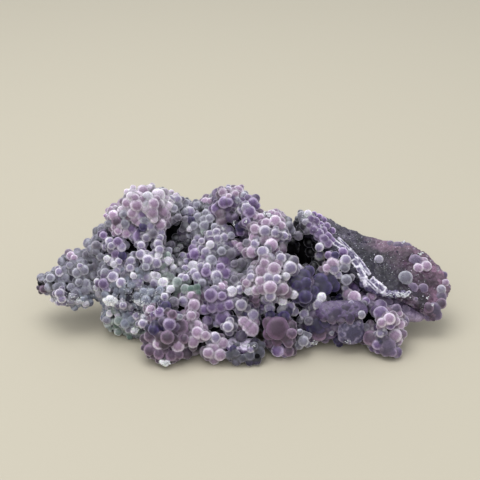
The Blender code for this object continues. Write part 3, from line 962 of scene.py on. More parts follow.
@dataclass
class Grapes:
    """All the balls of the stone: those seen in the photograph and those that fill the rest."""

    surface: Surface
    view: Viewpoint
    rng: np.random.Generator
    closeness: tuple[float, float] = (0.52, 0.74)
    tries: int = 28000
    top: float = 55.2
    crowd: Crowd = field(default_factory=Crowd)
    hollows: list[tuple[np.ndarray, float]] = field(default_factory=list)

    def seen(self) -> Balls:
        """Places the balls that the photograph shows, on the skin along their lines of sight."""
        rows: list[tuple] = []
        start = Vector(self.view.place)
        for spots in SPOTS:
            for x, y, size in spots.seen:
                seen_at = self.nearest_lobe if spots.flat == 1.0 else self.lobe_behind
                found = seen_at(x, y, size)
                if found is None:
                    LOG.warning("the ball at %s, %s is off the stone", x, y)
                    continue
                point, normal, gap = found
                to_eye = (start - point).normalized()
                radius = size * self.view.scale_at(point)
                flat = min(spots.flat, 1.0 if size < 7.4 else 0.8 if size < 8.4 else 0.5)
                lift = 0.12 * radius if flat == 1.0 else -0.12 * radius
                centre = point - normal * max(0.0, gap - 0.4 * radius) + (to_eye * lift if not gap else Vector())
                centre.z = min(max(centre.z, radius * 0.6), self.top - radius)
                # The painted sheen ring is centred on a direction turned mostly towards the camera, so that it falls
                # along the ball's outline as seen from there.
                out = (normal * 0.35 + to_eye).normalized()
                tone_and_painted_light = 1 + 0.10 * self.rng.standard_normal()
                # Painted light: pale balls are painted lighter the more sheltered they lie, making up for the light
                # that the hollow keeps from them.
                if spots.tone.rim.mean() > 0.35:
                    tone_and_painted_light *= 1 + 0.60 * float(self.surface.shelter(np.array([point[:]]), np.array([to_eye[:]]))[0])
                core, rim = spots.tone.core * tone_and_painted_light, spots.tone.rim * tone_and_painted_light
                self.crowd.add(np.array(centre), radius)
                rows.append((centre[:], radius, out[:], core, rim, flat))
                alone = spots.tone in (Tone.WHITE, Tone.FROST, Tone.SNOW, Tone.TEAL, Tone.GREEN, Tone.DIM) or flat < 1.0 or size < 3.9
                if not alone and not Blade.covers(np.array([centre[:]]))[0]:
                    rows += self.companions(centre, radius, out, core, rim)
                # Painted shade: the stem under a ball is painted darker than the ball, at 0.3 of its colour under a
                # round one and 0.85 under a flat lump.
                stem = centre - normal * radius * 0.9
                if stem.z > radius * 0.7:
                    shade = 0.3 if flat == 1.0 else 0.85
                    rows.append((stem[:], radius * 0.72, out[:], core * shade, rim * shade, 1.0))
        return Balls(*(np.array([row[k] for row in rows], float) for k in range(6)))

    def lobe_behind(self, x: float, y: float, _: float) -> tuple[Vector, Vector, float] | None:
        """Finds the skin behind a flat lump's middle, as meet gives it."""
        return self.surface.seen_at(self.view, x, y)

    def nearest_lobe(self, x: float, y: float, size: float) -> tuple[Vector, Vector, float] | None:
        """Finds what carries a ball: the skin behind its middle, or a nearer lobe that its outline touches.

        Args:
            x: Pixel from the left of the ball's middle.
            y: Pixel from the top.
            size: Its radius in pixels.

        Returns:
            The place, the normal there and the gap, as meet gives them, or None off the stone.
        """
        found = self.surface.seen_at(self.view, x, y)
        if found is None or found[2] > 0:
            return found
        start = Vector(self.view.place)
        far = (found[0] - start).length
        for right, down in ((0.75, 0), (-0.75, 0), (0, 0.75), (0, -0.75)):
            beside = self.surface.seen_at(self.view, x + right * size, y + down * size)
            if beside is None or beside[2] > 0:
                continue
            near = (beside[0] - start).length
            if near < far - 1.2 * size * self.view.scale_at(beside[0]):
                found = (start + (found[0] - start).normalized() * near, beside[1], 0.0)
                far = near
        return found

    def companions(self, centre: Vector, radius: float, out: Vector, core: np.ndarray, rim: np.ndarray) -> list[tuple]:
        """Grows a few more balls out of the flanks of one, further back, so that it belongs to a bunch.

        Args:
            centre: Its centre.
            radius: Its radius.
            out: Its outward direction.
            core: Colour of its middle.
            rim: Colour of its pale ring, a painted sheen.

        Returns:
            One row for each ball, in the order of the fields of Balls.
        """
        rows = []
        aside = out.orthogonal().normalized()
        first = self.rng.uniform(0, 2 * math.pi)
        for index in range(4):
            turned = Matrix.Rotation(first + index * math.pi / 2 + self.rng.uniform(-0.4, 0.4), 3, out) @ aside
            size = radius * self.rng.uniform(0.60, 0.92)
            place = centre + turned * radius * self.rng.uniform(0.85, 1.15) - out * radius * self.rng.uniform(0.45, 0.95)
            if place.z < size * 0.6 or place.z + size > self.top or not self.crowd.free(np.array(place), size, 0.50):
                continue
            if self.hollow_share(np.array([place[:]]))[0] > 0.2:
                continue
            self.crowd.add(np.array(place), size)
            # Painted shade: each companion, set further back, is painted darker than its ball.
            shade = self.rng.uniform(0.40, 0.85)
            rows.append((place[:], size, (out + turned * 0.25).normalized()[:], core * shade, rim * shade, 1.0))
        return rows

    def regions_of(self, points: np.ndarray) -> np.ndarray:
        """Gives the index of the region that each point lies in."""
        anchors = np.array([r.at for r in REGIONS], float)
        wobble = np.array([noise.noise_vector(Vector(p) / 9.0) for p in points]) * 5.0
        near = np.empty(len(points), int)
        for start in range(0, len(points), 20000):
            some = (points + wobble)[start : start + 20000]
            near[start : start + 20000] = np.linalg.norm(some[:, None] - anchors[None], axis=2).argmin(1)
        return near

    def ground_depth(self, points: np.ndarray) -> np.ndarray:
        """Gives how far the dark ground lies under the solid's skin, in millimetres."""
        gloom = np.array([r.gloom for r in REGIONS])[self.regions_of(points)]
        depth = 1.2 + 2.2 * gloom + 3.0 * self.hollow_share(points)
        return np.where(Blade.covers(points, 5.0), 3.2, depth)

    def ground_colour(self, points: np.ndarray) -> np.ndarray:
        """Gives the colour of the ground in the gaps: greyish at the left, and darker with the region's gloom down to
        nearly black in the open bunches and hollows, as painted shade; a dark grey-violet under the blade.
        """
        gloom = np.array([r.gloom for r in REGIONS])[self.regions_of(points)]
        dark = np.clip(gloom * 2.0 + self.hollow_share(points), 0, 1)[:, None]
        colour = np.array(linear(62, 60, 72)) * (1 - dark) + np.array(linear(5, 3, 8)) * dark
        under_blade = Blade.covers(points, 5.0)[:, None]
        return np.where(under_blade, np.array(linear(52, 46, 62)), colour)

    def stems(self, balls: Balls) -> Balls:
        """Gives the stems that carry balls above the sunken ground, painted at 0.15 of their balls' colours as painted
        shade under them.
        """
        centre = balls.centre - balls.out * balls.radius[:, None] * 0.95
        kept = centre[:, 2] > balls.radius * 0.75
        kept &= self.hollow_share(balls.centre) < 0.1
        return Balls(centre, balls.radius * 0.74, balls.out, balls.core * 0.15, balls.rim * 0.15).chosen(kept)

    def fill(self) -> Balls:
        """Packs balls side by side over the rest of the skin, the large ones first."""
        points, outs = self.surface.samples(self.tries, self.rng)
        region = self.regions_of(points)
        low = np.array([r.smallest for r in REGIONS])[region]
        high = np.array([r.largest for r in REGIONS])[region]
        gloom = np.array([r.gloom for r in REGIONS])[region]
        share = np.linspace(1.0, 0.0, self.tries)
        radius = low + (high - low) * share * self.rng.uniform(0.75, 1.0, self.tries)
        taken = Blade.covers(points) | Slabs.covers(points) | self.near_ladder(points)
        hollow = self.hollow_share(points)
        skipped = self.rng.random(self.tries) < np.where(share < 0.45, 0.95 * gloom, 0.50 * gloom)
        skipped |= hollow > 0.35
        kept = []
        for index in np.flatnonzero(~taken & ~skipped):
            r = radius[index]
            centre = points[index] - outs[index] * r * (self.rng.uniform(0.25, 0.60) + 0.7 * gloom[index])
            if centre[2] < r * 0.9:
                continue
            if self.crowd.free(centre, r, self.rng.uniform(*self.closeness)):
                self.crowd.add(centre, r)
                kept.append((index, centre))
        index = np.array([k for k, _ in kept])
        centre = np.array([c for _, c in kept])
        patch = np.array([noise.noise(Vector(c) / 6.5) for c in centre]) + 0.22 * self.rng.standard_normal(len(index))
        mix = smoothstep(0.05, 0.40, patch)[:, None]
        first = [REGIONS[region[k]].tone for k in index]
        second = [REGIONS[region[k]].second for k in index]
        core = np.array([t.core for t in first]) * (1 - mix) + np.array([t.core for t in second]) * mix
        rim = np.array([t.rim for t in first]) * (1 - mix) + np.array([t.rim for t in second]) * mix
        # A weaker painted sheen ring on the filling balls.
        rim = rim * 0.65 + core * 0.35
        light = (1 + 0.13 * self.rng.standard_normal(len(index)))[:, None]
        # Painted shade: balls are painted darker where the skin around them is sheltered, in the hollows and in gloomy
        # regions.
        shade = 1 - (0.45 + 0.35 * gloom[index]) * self.surface.shelter(points[index], outs[index]) ** 0.8
        shade *= (1 - 0.85 * hollow[index]) * (1 - 0.60 * gloom[index])
        return Balls(centre, radius[index], outs[index], core * light * shade[:, None], rim * light * shade[:, None])

    def near_ladder(self, points: np.ndarray) -> np.ndarray:
        """Tells which points lie where the glassy ribs stand, as a mask."""
        places = [self.surface.seen_at(self.view, x, y)[0] for x, y, _ in BAND]
        away = np.linalg.norm(points[:, None] - np.array(places)[None], axis=2)
        return away.min(1) < 3.0

    def hollow_share(self, points: np.ndarray) -> np.ndarray:
        """Tells how deep in one of the dark hollows points lie.

        Args:
            points: Places on the skin, in millimetres.

        Returns:
            From 0 outside all of them to 1 in the middle of one.
        """
        start = np.array(self.view.place)
        if not self.hollows:
            for x, y, size in HOLLOWS:
                found = self.surface.seen_at(self.view, x, y)
                if found is not None:
                    self.hollows.append((np.array(found[0]), size * self.view.scale_at(found[0])))
        depth = np.zeros(len(points))
        for middle, reach in self.hollows:
            ray = middle - start
            ray /= np.linalg.norm(ray)
            away = points - middle
            along = away @ ray
            across = np.linalg.norm(away - along[:, None] * ray, axis=1)
            share = smoothstep(1.25, 0.55, across / reach) * (np.abs(along) < 14)
            depth = np.maximum(depth, share)
        return depth


@dataclass
class Clusters:
    """Balls fused into closed skins, a group at a time."""

    ball: tuple[np.ndarray, np.ndarray]
    cell: float = 0.36
    most: int = 120_000
    melt: int = 3
    rough: float = 0.16

    def fuse(self, name: str, balls: Balls, under: bpy.types.Object | None = None, cell: float | None = None) -> bpy.types.Object:
        """Fuses balls, and what they sit on where given, into one skin painted ball by ball.

        Args:
            name: The piece's name.
            balls: The balls.
            under: A closed mesh that they are fused with, which is used up.
            cell: Width of the cells that they are fused in, in millimetres.

        Returns:
            The piece, still in millimetres.
        """
        places, corners = self.ball
        every = places[None] * balls.radius[:, None, None]
        along = (every * balls.out[:, None]).sum(2, keepdims=True)
        every = every - along * (1 - balls.flat[:, None, None]) * balls.out[:, None]
        every = (every + balls.centre[:, None]).reshape(-1, 3)
        every[:, 2] = np.maximum(every[:, 2], 0.0)
        faces = (corners[None] + (np.arange(len(balls)) * len(places))[:, None, None]).reshape(-1, 3)
        if under is not None:
            more_places, more_corners = read_mesh(under)
            faces = np.concatenate([faces, more_corners + len(every)])
            every = np.concatenate([every, more_places])
            bpy.data.objects.remove(under)
        piece = write_mesh(name, every, faces)
        apply_modifier(piece, "REMESH", mode="VOXEL", voxel_size=cell or self.cell)
        apply_modifier(piece, "SMOOTH", factor=0.5, iterations=self.melt)
        count = 2 * len(piece.data.polygons)
        if count > self.most:
            apply_modifier(piece, "DECIMATE", ratio=self.most / count)
        apply_modifier(piece, "TRIANGULATE")
        places, _ = read_mesh(piece)
        lumps = np.array([noise.noise(Vector(p) / 1.1) + 0.5 * noise.noise(Vector(p) / 0.5) for p in places])
        places = places + normals_of(piece) * (lumps * self.rough)[:, None]
        places[:, 2] = np.maximum(places[:, 2], 0.0)
        piece.data.vertices.foreach_set("co", places.astype(np.float32).ravel())
        LOG.info("%s: %d balls, %d triangles before thinning", name, len(balls), count)
        return piece

    @staticmethod
    def colours(piece: bpy.types.Object, balls: Balls, bare: np.ndarray) -> np.ndarray:
        """Works out each vertex's colour from the ball that it lies on, with a painted sheen ring round each ball's
        core and painted shade under the balls and in the creases between them.

        Args:
            piece: The fused skin, in millimetres.
            balls: The balls that it was fused from.
            bare: The colour where no ball is near, for all vertices or one row for each.

        Returns:
            Linear colours, one row for each vertex.
        """
        mesh = piece.data
        places = np.empty(len(mesh.vertices) * 3, np.float32)
        mesh.vertices.foreach_get("co", places)
        places = places.reshape(-1, 3)
        centre = balls.centre.astype(np.float32)
        radius = balls.radius.astype(np.float32)
        out = balls.out.astype(np.float32)
        flat = balls.flat.astype(np.float32)
        pressed = 1 / flat**2 - 1
        colours = np.empty((len(places), 3))
        for start in range(0, len(places), 4000):
            some = places[start : start + 4000]
            square = (some**2).sum(1)[:, None] + (centre**2).sum(1)[None] - 2 * some @ centre.T
            square += pressed[None] * (some @ out.T - (centre * out).sum(1)[None]) ** 2
            gap = (np.sqrt(np.maximum(square, 0)) - radius[None]) * flat[None]
            two = np.argpartition(gap, 1, axis=1)[:, :2]
            rows = np.arange(len(some))
            swap = gap[rows, two[:, 0]] > gap[rows, two[:, 1]]
            first = np.where(swap, two[:, 1], two[:, 0])
            second = np.where(swap, two[:, 0], two[:, 1])
            near = gap[rows, first]
            crease = smoothstep(0.55, 0.02, gap[rows, second] - near)
            away = some - centre[first]
            away += ((away * out[first]).sum(1) * (1 / flat[first] - 1))[:, None] * out[first]
            away /= np.linalg.norm(away, axis=1)[:, None] + 1e-9
            facing = (away * out[first]).sum(1)
            # Painted sheen: a pale ring round the core, where the ball turns away from its outward direction.
            ring = smoothstep(0.88, 0.46, facing + 0.07 * np.sin(some @ np.array((5.1, 3.7, 4.3), np.float32)))
            colour = balls.core[first] * (1 - ring[:, None]) + balls.rim[first] * ring[:, None]
            # Painted shade: darker under each ball and in the creases where two balls meet.
            under = smoothstep(0.20, -0.50, facing)
            colour *= (1 - 0.92 * under)[:, None] * (1 - 0.45 * crease)[:, None]
            off = smoothstep(0.25, 0.8, near)[:, None]
            ground = bare if bare.ndim == 1 else bare[start : start + 4000]
            colours[start : start + 4000] = colour * (1 - off) + ground * off
        return colours


@dataclass
class Blade:
    """The smooth bent sheet at the right end, with its sugary skin.

    Attributes:
        back_edge: Points along its upper edge, from the root to the tip.
        front_edge: Points along its lower edge.
        thickness: How thick it is.
        shift: How far the stone was moved to stand over the origin.
        margin: How many balls scallop its outer margin.
        knobs: How many low lumps its face has.
    """

    back_edge: tuple[Point, ...] = ((24, 16, 42), (34, 20, 37.4), (44, 20.6, 31.2), (56, 19.4, 28), (69, 16, 27), (78, 11, 23), (85, 3, 15))
    front_edge: tuple[Point, ...] = ((27, 7, 38), (32, 2, 34), (40, -3, 27), (49, -7, 20), (60, -8, 17), (68, -9, 14), (76, -11, 8))
    thickness: float = 4.0
    shift: Point = (0.551, 0.118, 0.0)
    margin: int = 58
    knobs: int = 90

    @staticmethod
    def along(points: tuple[Point, ...], share: float) -> Vector:
        """Gives the point at a share of the way along a smooth curve through points."""
        knots = [Vector(p) for p in points]
        knots = [2 * knots[0] - knots[1], *knots, 2 * knots[-1] - knots[-2]]
        spans = len(points) - 1
        span = min(int(share * spans), spans - 1)
        before, start, end, after = knots[span : span + 4]
        t = share * spans - span
        square = 2 * before - 5 * start + 4 * end - after
        cube = 3 * start - before - 3 * end + after
        return (2 * start + (end - before) * t + square * t**2 + cube * t**3) / 2

    def place(self, along: float, across: float) -> Vector:
        """Gives a point of the blade's middle sheet.

        Args:
            along: From 0 at the root to 1 at the tip.
            across: From 0 at the front edge to 1 at the back edge.

        Returns:
            The point, in millimetres.
        """
        front = self.along(self.front_edge, along)
        back = self.along(self.back_edge, along)
        return front.lerp(back, across) + Vector(self.shift)

    @classmethod
    def covers(cls, points: np.ndarray, reach: float = 4.4) -> np.ndarray:
        """Tells which points lie on the blade.

        Args:
            points: Places on the skin, in millimetres.
            reach: How far from the blade's middle sheet they may be.

        Returns:
            A mask.
        """
        blade = cls()
        sheet = [blade.place(u, v) for u in np.linspace(0.08, 1, 36) for v in np.linspace(0, 1, 16)]
        near = KDTree(len(sheet))
        for index, place in enumerate(sheet):
            near.insert(place, index)
        near.balance()
        return np.array([near.find(point)[2] < reach for point in points])

    def normal(self, along: float, across: float) -> Vector:
        """Gives the direction that the sheet's upper face has at a place."""
        step = 0.02
        ahead = self.place(min(1.0, along + step), across) - self.place(max(0.0, along - step), across)
        aside = self.place(along, min(1.0, across + step)) - self.place(along, max(0.0, across - step))
        return ahead.cross(aside).normalized()

    def lumps(self, rng: np.random.Generator) -> Balls:
        """Places the low lumps of the sheet's face and the balls that scallop its outer margin.

        Args:
            rng: Where chance comes from.

        Returns:
            The balls.
        """
        rows = []
        for index in range(self.margin):
            t = index / (self.margin - 1)
            if t < 0.5:
                along, across = 0.42 + 1.16 * t, 1.0
            elif t < 0.72:
                along, across = 1.0, 1.0 - (t - 0.5) / 0.22
            else:
                along, across = 1.0 - (t - 0.72) / 0.28 * 0.30, 0.0
            radius = rng.uniform(1.1, 1.5) + 0.9 * max(0.0, along - 0.6)
            middle = self.place(0.8, 0.5)
            edge = self.place(along, across)
            out = (edge - middle).normalized()
            tone = Tone.MAROON if rng.random() < 0.6 else Tone.PINK
            fade = 0.55 + 0.35 * along
            rows.append(((edge - out * radius * rng.uniform(0.55, 1.1))[:], radius, (out + self.normal(along, across)).normalized()[:], tone.core * fade, tone.rim * fade))
        for _ in range(self.knobs):
            along, across = rng.uniform(0.25, 0.97), rng.uniform(0.08, 0.92)
            radius = rng.uniform(1.2, 3.0)
            up = self.normal(along, across)
            centre = self.place(along, across) + up * (self.thickness / 2 - radius + rng.uniform(0.15, 0.42))
            shade = self.skin_colour(np.array([centre[:]]))[0] * rng.uniform(0.8, 1.25)
            rows.append((centre[:], radius, up[:], shade, shade * 1.3))
        return Balls(*(np.array([row[k] for row in rows], float) for k in range(5)))

    @staticmethod
    def skin_colour(places: np.ndarray) -> np.ndarray:
        """Gives the sheet's colour: grey-violet along the top, indigo in the middle and maroon at the tip.

        Args:
            places: Points on it, in millimetres.

        Returns:
            Linear colours, one row for each point.
        """
        swell = np.array([noise.fractal(Vector(p) / 8.0, 1.0, 2.0, 3) for p in places])
        grain = np.array([noise.noise(Vector(p) / 1.1) for p in places])
        tip = smoothstep(54, 76, places[:, 0] + 0.6 * (places[:, 1] - 4) + 5 * swell)[:, None]
        top = smoothstep(8, 18, places[:, 1] + 4 * swell)[:, None] * (1 - tip)
        colour = np.array(linear(20, 13, 36)) * (1 - tip) + np.array(linear(68, 40, 64)) * tip
        colour = colour * (1 - top) + np.array(linear(66, 60, 76)) * top
        margin = smoothstep(8, 15, places[:, 1] + 3 * swell) * smoothstep(48, 62, places[:, 0])
        margin = np.maximum(margin, smoothstep(72, 84, places[:, 0] + 4 * swell))[:, None] * 0.8
        colour = colour * (1 - margin) + np.array(linear(130, 102, 122)) * margin
        streak = np.array([noise.noise(Vector((p[0] / 1.1, p[1] / 0.55, p[2] / 0.55))) for p in places])
        return colour * np.clip(1 + 0.50 * swell + 0.30 * grain + 0.45 * streak, 0.3, 2.2)[:, None]

    def build(self, clusters: Clusters, rng: np.random.Generator) -> bpy.types.Object:
        """Models the sheet from a flat grid, thickens it, fuses its lumps to it and paints it.

        Args:
            clusters: What fuses the lumps.
            rng: Where chance comes from.

        Returns:
            The piece, still in millimetres.
        """
        deselect()
        bpy.ops.mesh.primitive_grid_add(x_subdivisions=90, y_subdivisions=40, size=1.0)
        sheet = bpy.context.object
        for vert in sheet.data.vertices:
            vert.co = self.place(vert.co.x + 0.5, vert.co.y + 0.5)
        apply_modifier(sheet, "SOLIDIFY", thickness=self.thickness, offset=0.0)
        apply_modifier(sheet, "REMESH", mode="VOXEL", voxel_size=0.5)
        apply_modifier(sheet, "SMOOTH", factor=0.6, iterations=8)
        apply_modifier(sheet, "TRIANGULATE")
        lumps = self.lumps(rng)
        blade = clusters.fuse("blade", lumps, under=sheet, cell=0.42)
        places, _ = read_mesh(blade)
        bare = self.skin_colour(places)
        painted = clusters.colours(blade, lumps, bare)
        swell = np.array([noise.fractal(Vector(p) / 6.0, 1.0, 2.0, 3) for p in places])
        sugar = np.array([noise.noise(Vector(p) / 0.9) for p in places])
        ripple = np.array([noise.noise(Vector((p[0] / 2.6, p[1] / 1.2, p[2] / 1.2))) for p in places])
        moved = places + normals_of(blade) * (swell * 0.55 + sugar * 0.24 + ripple * 0.40)[:, None]
        blade.data.vertices.foreach_set("co", moved.astype(np.float32).ravel())
        paint(blade, painted)
        return blade


@dataclass(frozen=True)
class Rib:
    """A glassy bar on the blade.

    Attributes:
        start: Pixel of the photograph where it starts.
        end: Pixel where it ends.
        width: Its width in millimetres.
        height: How far it stands up, in millimetres.
    """

    start: tuple[float, float]
    end: tuple[float, float]
    width: float
    height: float


RIBS = (
    Rib((331.5, 241.5), (343.5, 249.5), 2.7, 1.9),
    Rib((338.0, 238.5), (351.0, 251.5), 1.2, 1.6),
    Rib((351.5, 252.5), (357.0, 259.0), 1.6, 1.6),
    Rib((357.5, 258.5), (369.5, 275.0), 1.4, 2.3),
    Rib((353.0, 260.5), (357.5, 267.0), 2.7, 1.9),
    Rib((356.5, 267.5), (363.5, 279.5), 3.2, 2.0),
    Rib((364.0, 281.5), (377.5, 297.0), 2.7, 2.0),
    Rib((365.5, 279.0), (377.5, 291.0), 1.0, 2.5),
    Rib((371.0, 279.5), (377.0, 285.0), 2.8, 1.9),
    Rib((377.5, 285.0), (384.5, 291.0), 3.0, 2.0),
    Rib((383.0, 292.5), (390.0, 296.5), 1.3, 1.5),
    Rib((390.0, 296.5), (397.5, 293.5), 1.2, 1.4),
    Rib((397.5, 293.5), (404.0, 296.5), 1.2, 1.3),
    Rib((404.0, 296.5), (409.5, 292.0), 1.2, 1.3),
)


# Low glassy lumps that the ribs are set in: pixel from the left, from the top, and radius
BAND = (
    (334, 243, 5),
    (339, 247, 5.5),
    (344, 249, 5),
    (349, 253, 4.5),
    (353, 257, 5),
    (357, 263, 5.5),
    (360, 269, 5.5),
    (363, 275, 5.5),
    (366, 281, 5.5),
    (370, 286, 6),
    (374, 289, 6),
    (378, 292, 5.5),
    (383, 293, 5),
    (389, 294, 4.5),
    (396, 293, 4.5),
    (403, 293, 4),
)


@dataclass
class Ladder:
    """The row of glassy ribs with white edges and violet middles that runs along the blade's front; the white of the
    edges is partly their pale rims and partly a painted highlight along the ridges.

    Attributes:
        tree: The skin that the ribs stand on.
        view: The camera.
        glass: Colour of their middles.
        edge: Colour of their edges, partly pale rim and partly painted highlight.
    """

    tree: BVHTree
    view: Viewpoint
    glass: Colour = linear(86, 76, 112)
    edge: Colour = linear(222, 218, 231)

    def bar(self) -> tuple[np.ndarray, np.ndarray]:
        """Models one rib, a bevelled bar with a sunken middle, and gives its mesh."""
        deselect()
        bpy.ops.mesh.primitive_cube_add(size=2.0)
        bar = bpy.context.object
        bpy.ops.object.mode_set(mode="EDIT")
        bpy.ops.mesh.select_all(action="DESELECT")
        made = bmesh.from_edit_mesh(bar.data)
        for face in made.faces:
            face.select = face.normal.z > 0.9
        bmesh.update_edit_mesh(bar.data)
        bpy.ops.mesh.inset(thickness=0.44)
        bpy.ops.transform.translate(value=(0, 0, -0.40))
        bpy.ops.object.mode_set(mode="OBJECT")
        apply_modifier(bar, "BEVEL", width=0.16, segments=2, limit_method="ANGLE")
        apply_modifier(bar, "TRIANGULATE")
        mesh = read_mesh(bar)
        bpy.data.objects.remove(bar)
        return mesh

    def stand(self, rib: Rib) -> Matrix:
        """Works out where a rib stands.

        Args:
            rib: The rib.

        Returns:
            What turns, sizes and moves the bar to it.
        """
        start, normal_a, _ = meet(self.tree, self.view, *rib.start)
        end, normal_b, _ = meet(self.tree, self.view, *rib.end)
        along = end - start
        up = (normal_a + normal_b + (Vector(self.view.place) - start).normalized()).normalized()
        x = along.normalized()
        y = up.cross(x).normalized()
        z = x.cross(y)
        turned = Matrix((x, y, z)).transposed().to_4x4()
        middle = start.lerp(end, 0.5) + z * rib.height * 0.15
        size = Matrix.Diagonal((along.length / 2 + 0.35, rib.width / 2 + 0.15, rib.height * 0.42, 1.0))
        return Matrix.Translation(middle) @ turned @ size

    def build(self) -> bpy.types.Object:
        """Copies the bar to every rib, fuses them and paints their edges white, partly as painted highlight.

        Returns:
            The piece, still in millimetres.
        """
        places, corners = self.bar()
        stands = [np.array(self.stand(rib)) for rib in RIBS]
        every = np.concatenate([places @ m[:3, :3].T + m[:3, 3] for m in stands])
        faces = np.concatenate([corners + k * len(places) for k in range(len(stands))])
        ball, around = prototype_ball()
        for x, y, size in BAND:
            found = meet(self.tree, self.view, x, y)
            radius = size * self.view.scale_at(found[0])
            faces = np.concatenate([faces, around + len(every)])
            every = np.concatenate([every, ball * radius + np.array(found[0] - found[1] * radius * 0.55)])
        ladder = write_mesh("ladder", every, faces)
        apply_modifier(ladder, "REMESH", mode="VOXEL", voxel_size=0.24)
        apply_modifier(ladder, "SMOOTH", factor=0.5, iterations=9)
        apply_modifier(ladder, "TRIANGULATE")
        points, _ = read_mesh(ladder)
        inner = np.zeros(len(points))
        bar = np.zeros(len(points))
        for m in stands:
            local = (points - m[:3, 3]) @ np.linalg.inv(m[:3, :3]).T
            x, y, z = np.abs(local[:, 0]), np.abs(local[:, 1]), local[:, 2]
            on_bar = smoothstep(1.30, 0.95, x) * smoothstep(1.45, 1.0, y) * smoothstep(-0.4, 0.3, z) * (z < 1.5)
            inside = smoothstep(0.80, 0.54, x) * smoothstep(0.64, 0.30, y) * (z > -0.2) * (z < 1.4)
            bar = np.maximum(bar, on_bar)
            inner = np.maximum(inner, inside)
        grain = np.array([noise.noise(Vector(p) / 0.9) for p in points])
        moved = points + normals_of(ladder) * (grain * 0.20)[:, None]
        ladder.data.vertices.foreach_set("co", moved.astype(np.float32).ravel())
        broken = np.array([noise.noise(Vector(p) / 2.2) for p in points])
        # White edges: partly the ribs' pale rims, partly painted highlight along the ridges.
        edge = np.clip((bar - inner) * (0.78 + 1.0 * broken) + 0.30 * grain, 0, 1)[:, None]
        colour = np.array(self.glass) * (1 - edge) + np.array(self.edge) * edge
        paint(ladder, colour * (1 + 0.30 * grain)[:, None])
        return ladder


@dataclass(frozen=True)
class Slab:
    """A flat tablet wedged between the bunches.

    Attributes:
        at: Its middle, in millimetres.
        size: Half sizes along its own axes.
        turn: Turns about X, Y and Z in degrees.
        core: Colour of its face.
        rim: Colour of its lobed edge.
        round: How far its box is rounded towards a ball.
        beads: How many small balls its edge is lobed by.
        thin: The axis that its broad faces look along.
    """

    at: Point
    size: Point
    turn: Point
    core: Colour
    rim: Colour
    round: float = 0.5
    beads: int = 14
    thin: int = 1

    def frame(self) -> Matrix:
        """Gives what turns, sizes and moves a unit slab to its place."""
        x, y, z = (math.radians(angle) for angle in self.turn)
        turned = Matrix.Rotation(z, 4, "Z") @ Matrix.Rotation(y, 4, "Y") @ Matrix.Rotation(x, 4, "X")
        at = Vector(self.at) + Vector(Blade.shift)
        return Matrix.Translation(at) @ turned @ Matrix.Diagonal((*self.size, 1.0))


SLABS = (
    Slab((38, -17.5, 16.3), (9.4, 4.1, 2.7), (30, -4, -3), linear(34, 22, 48), linear(84, 66, 104), 0.62, 18),
    Slab((42, -20.5, 8.6), (4.9, 2.4, 4.6), (-16, 8, 10), linear(62, 56, 86), linear(136, 128, 154), 0.75, 15),
    Slab((30, -17, 8), (6.5, 2.6, 4.5), (-16, -10, -12), linear(44, 34, 64), linear(104, 86, 120), 0.60, 13),
    Slab((-1, -27, 6), (6.5, 3.5, 1.8), (14, 6, 0), linear(84, 68, 104), linear(184, 174, 196), 0.62, 15),
    Slab((60, -6, 12), (13, 5.5, 2.4), (12, 16, -6), linear(86, 72, 100), linear(150, 134, 158), 0.70, 24, 2),
)


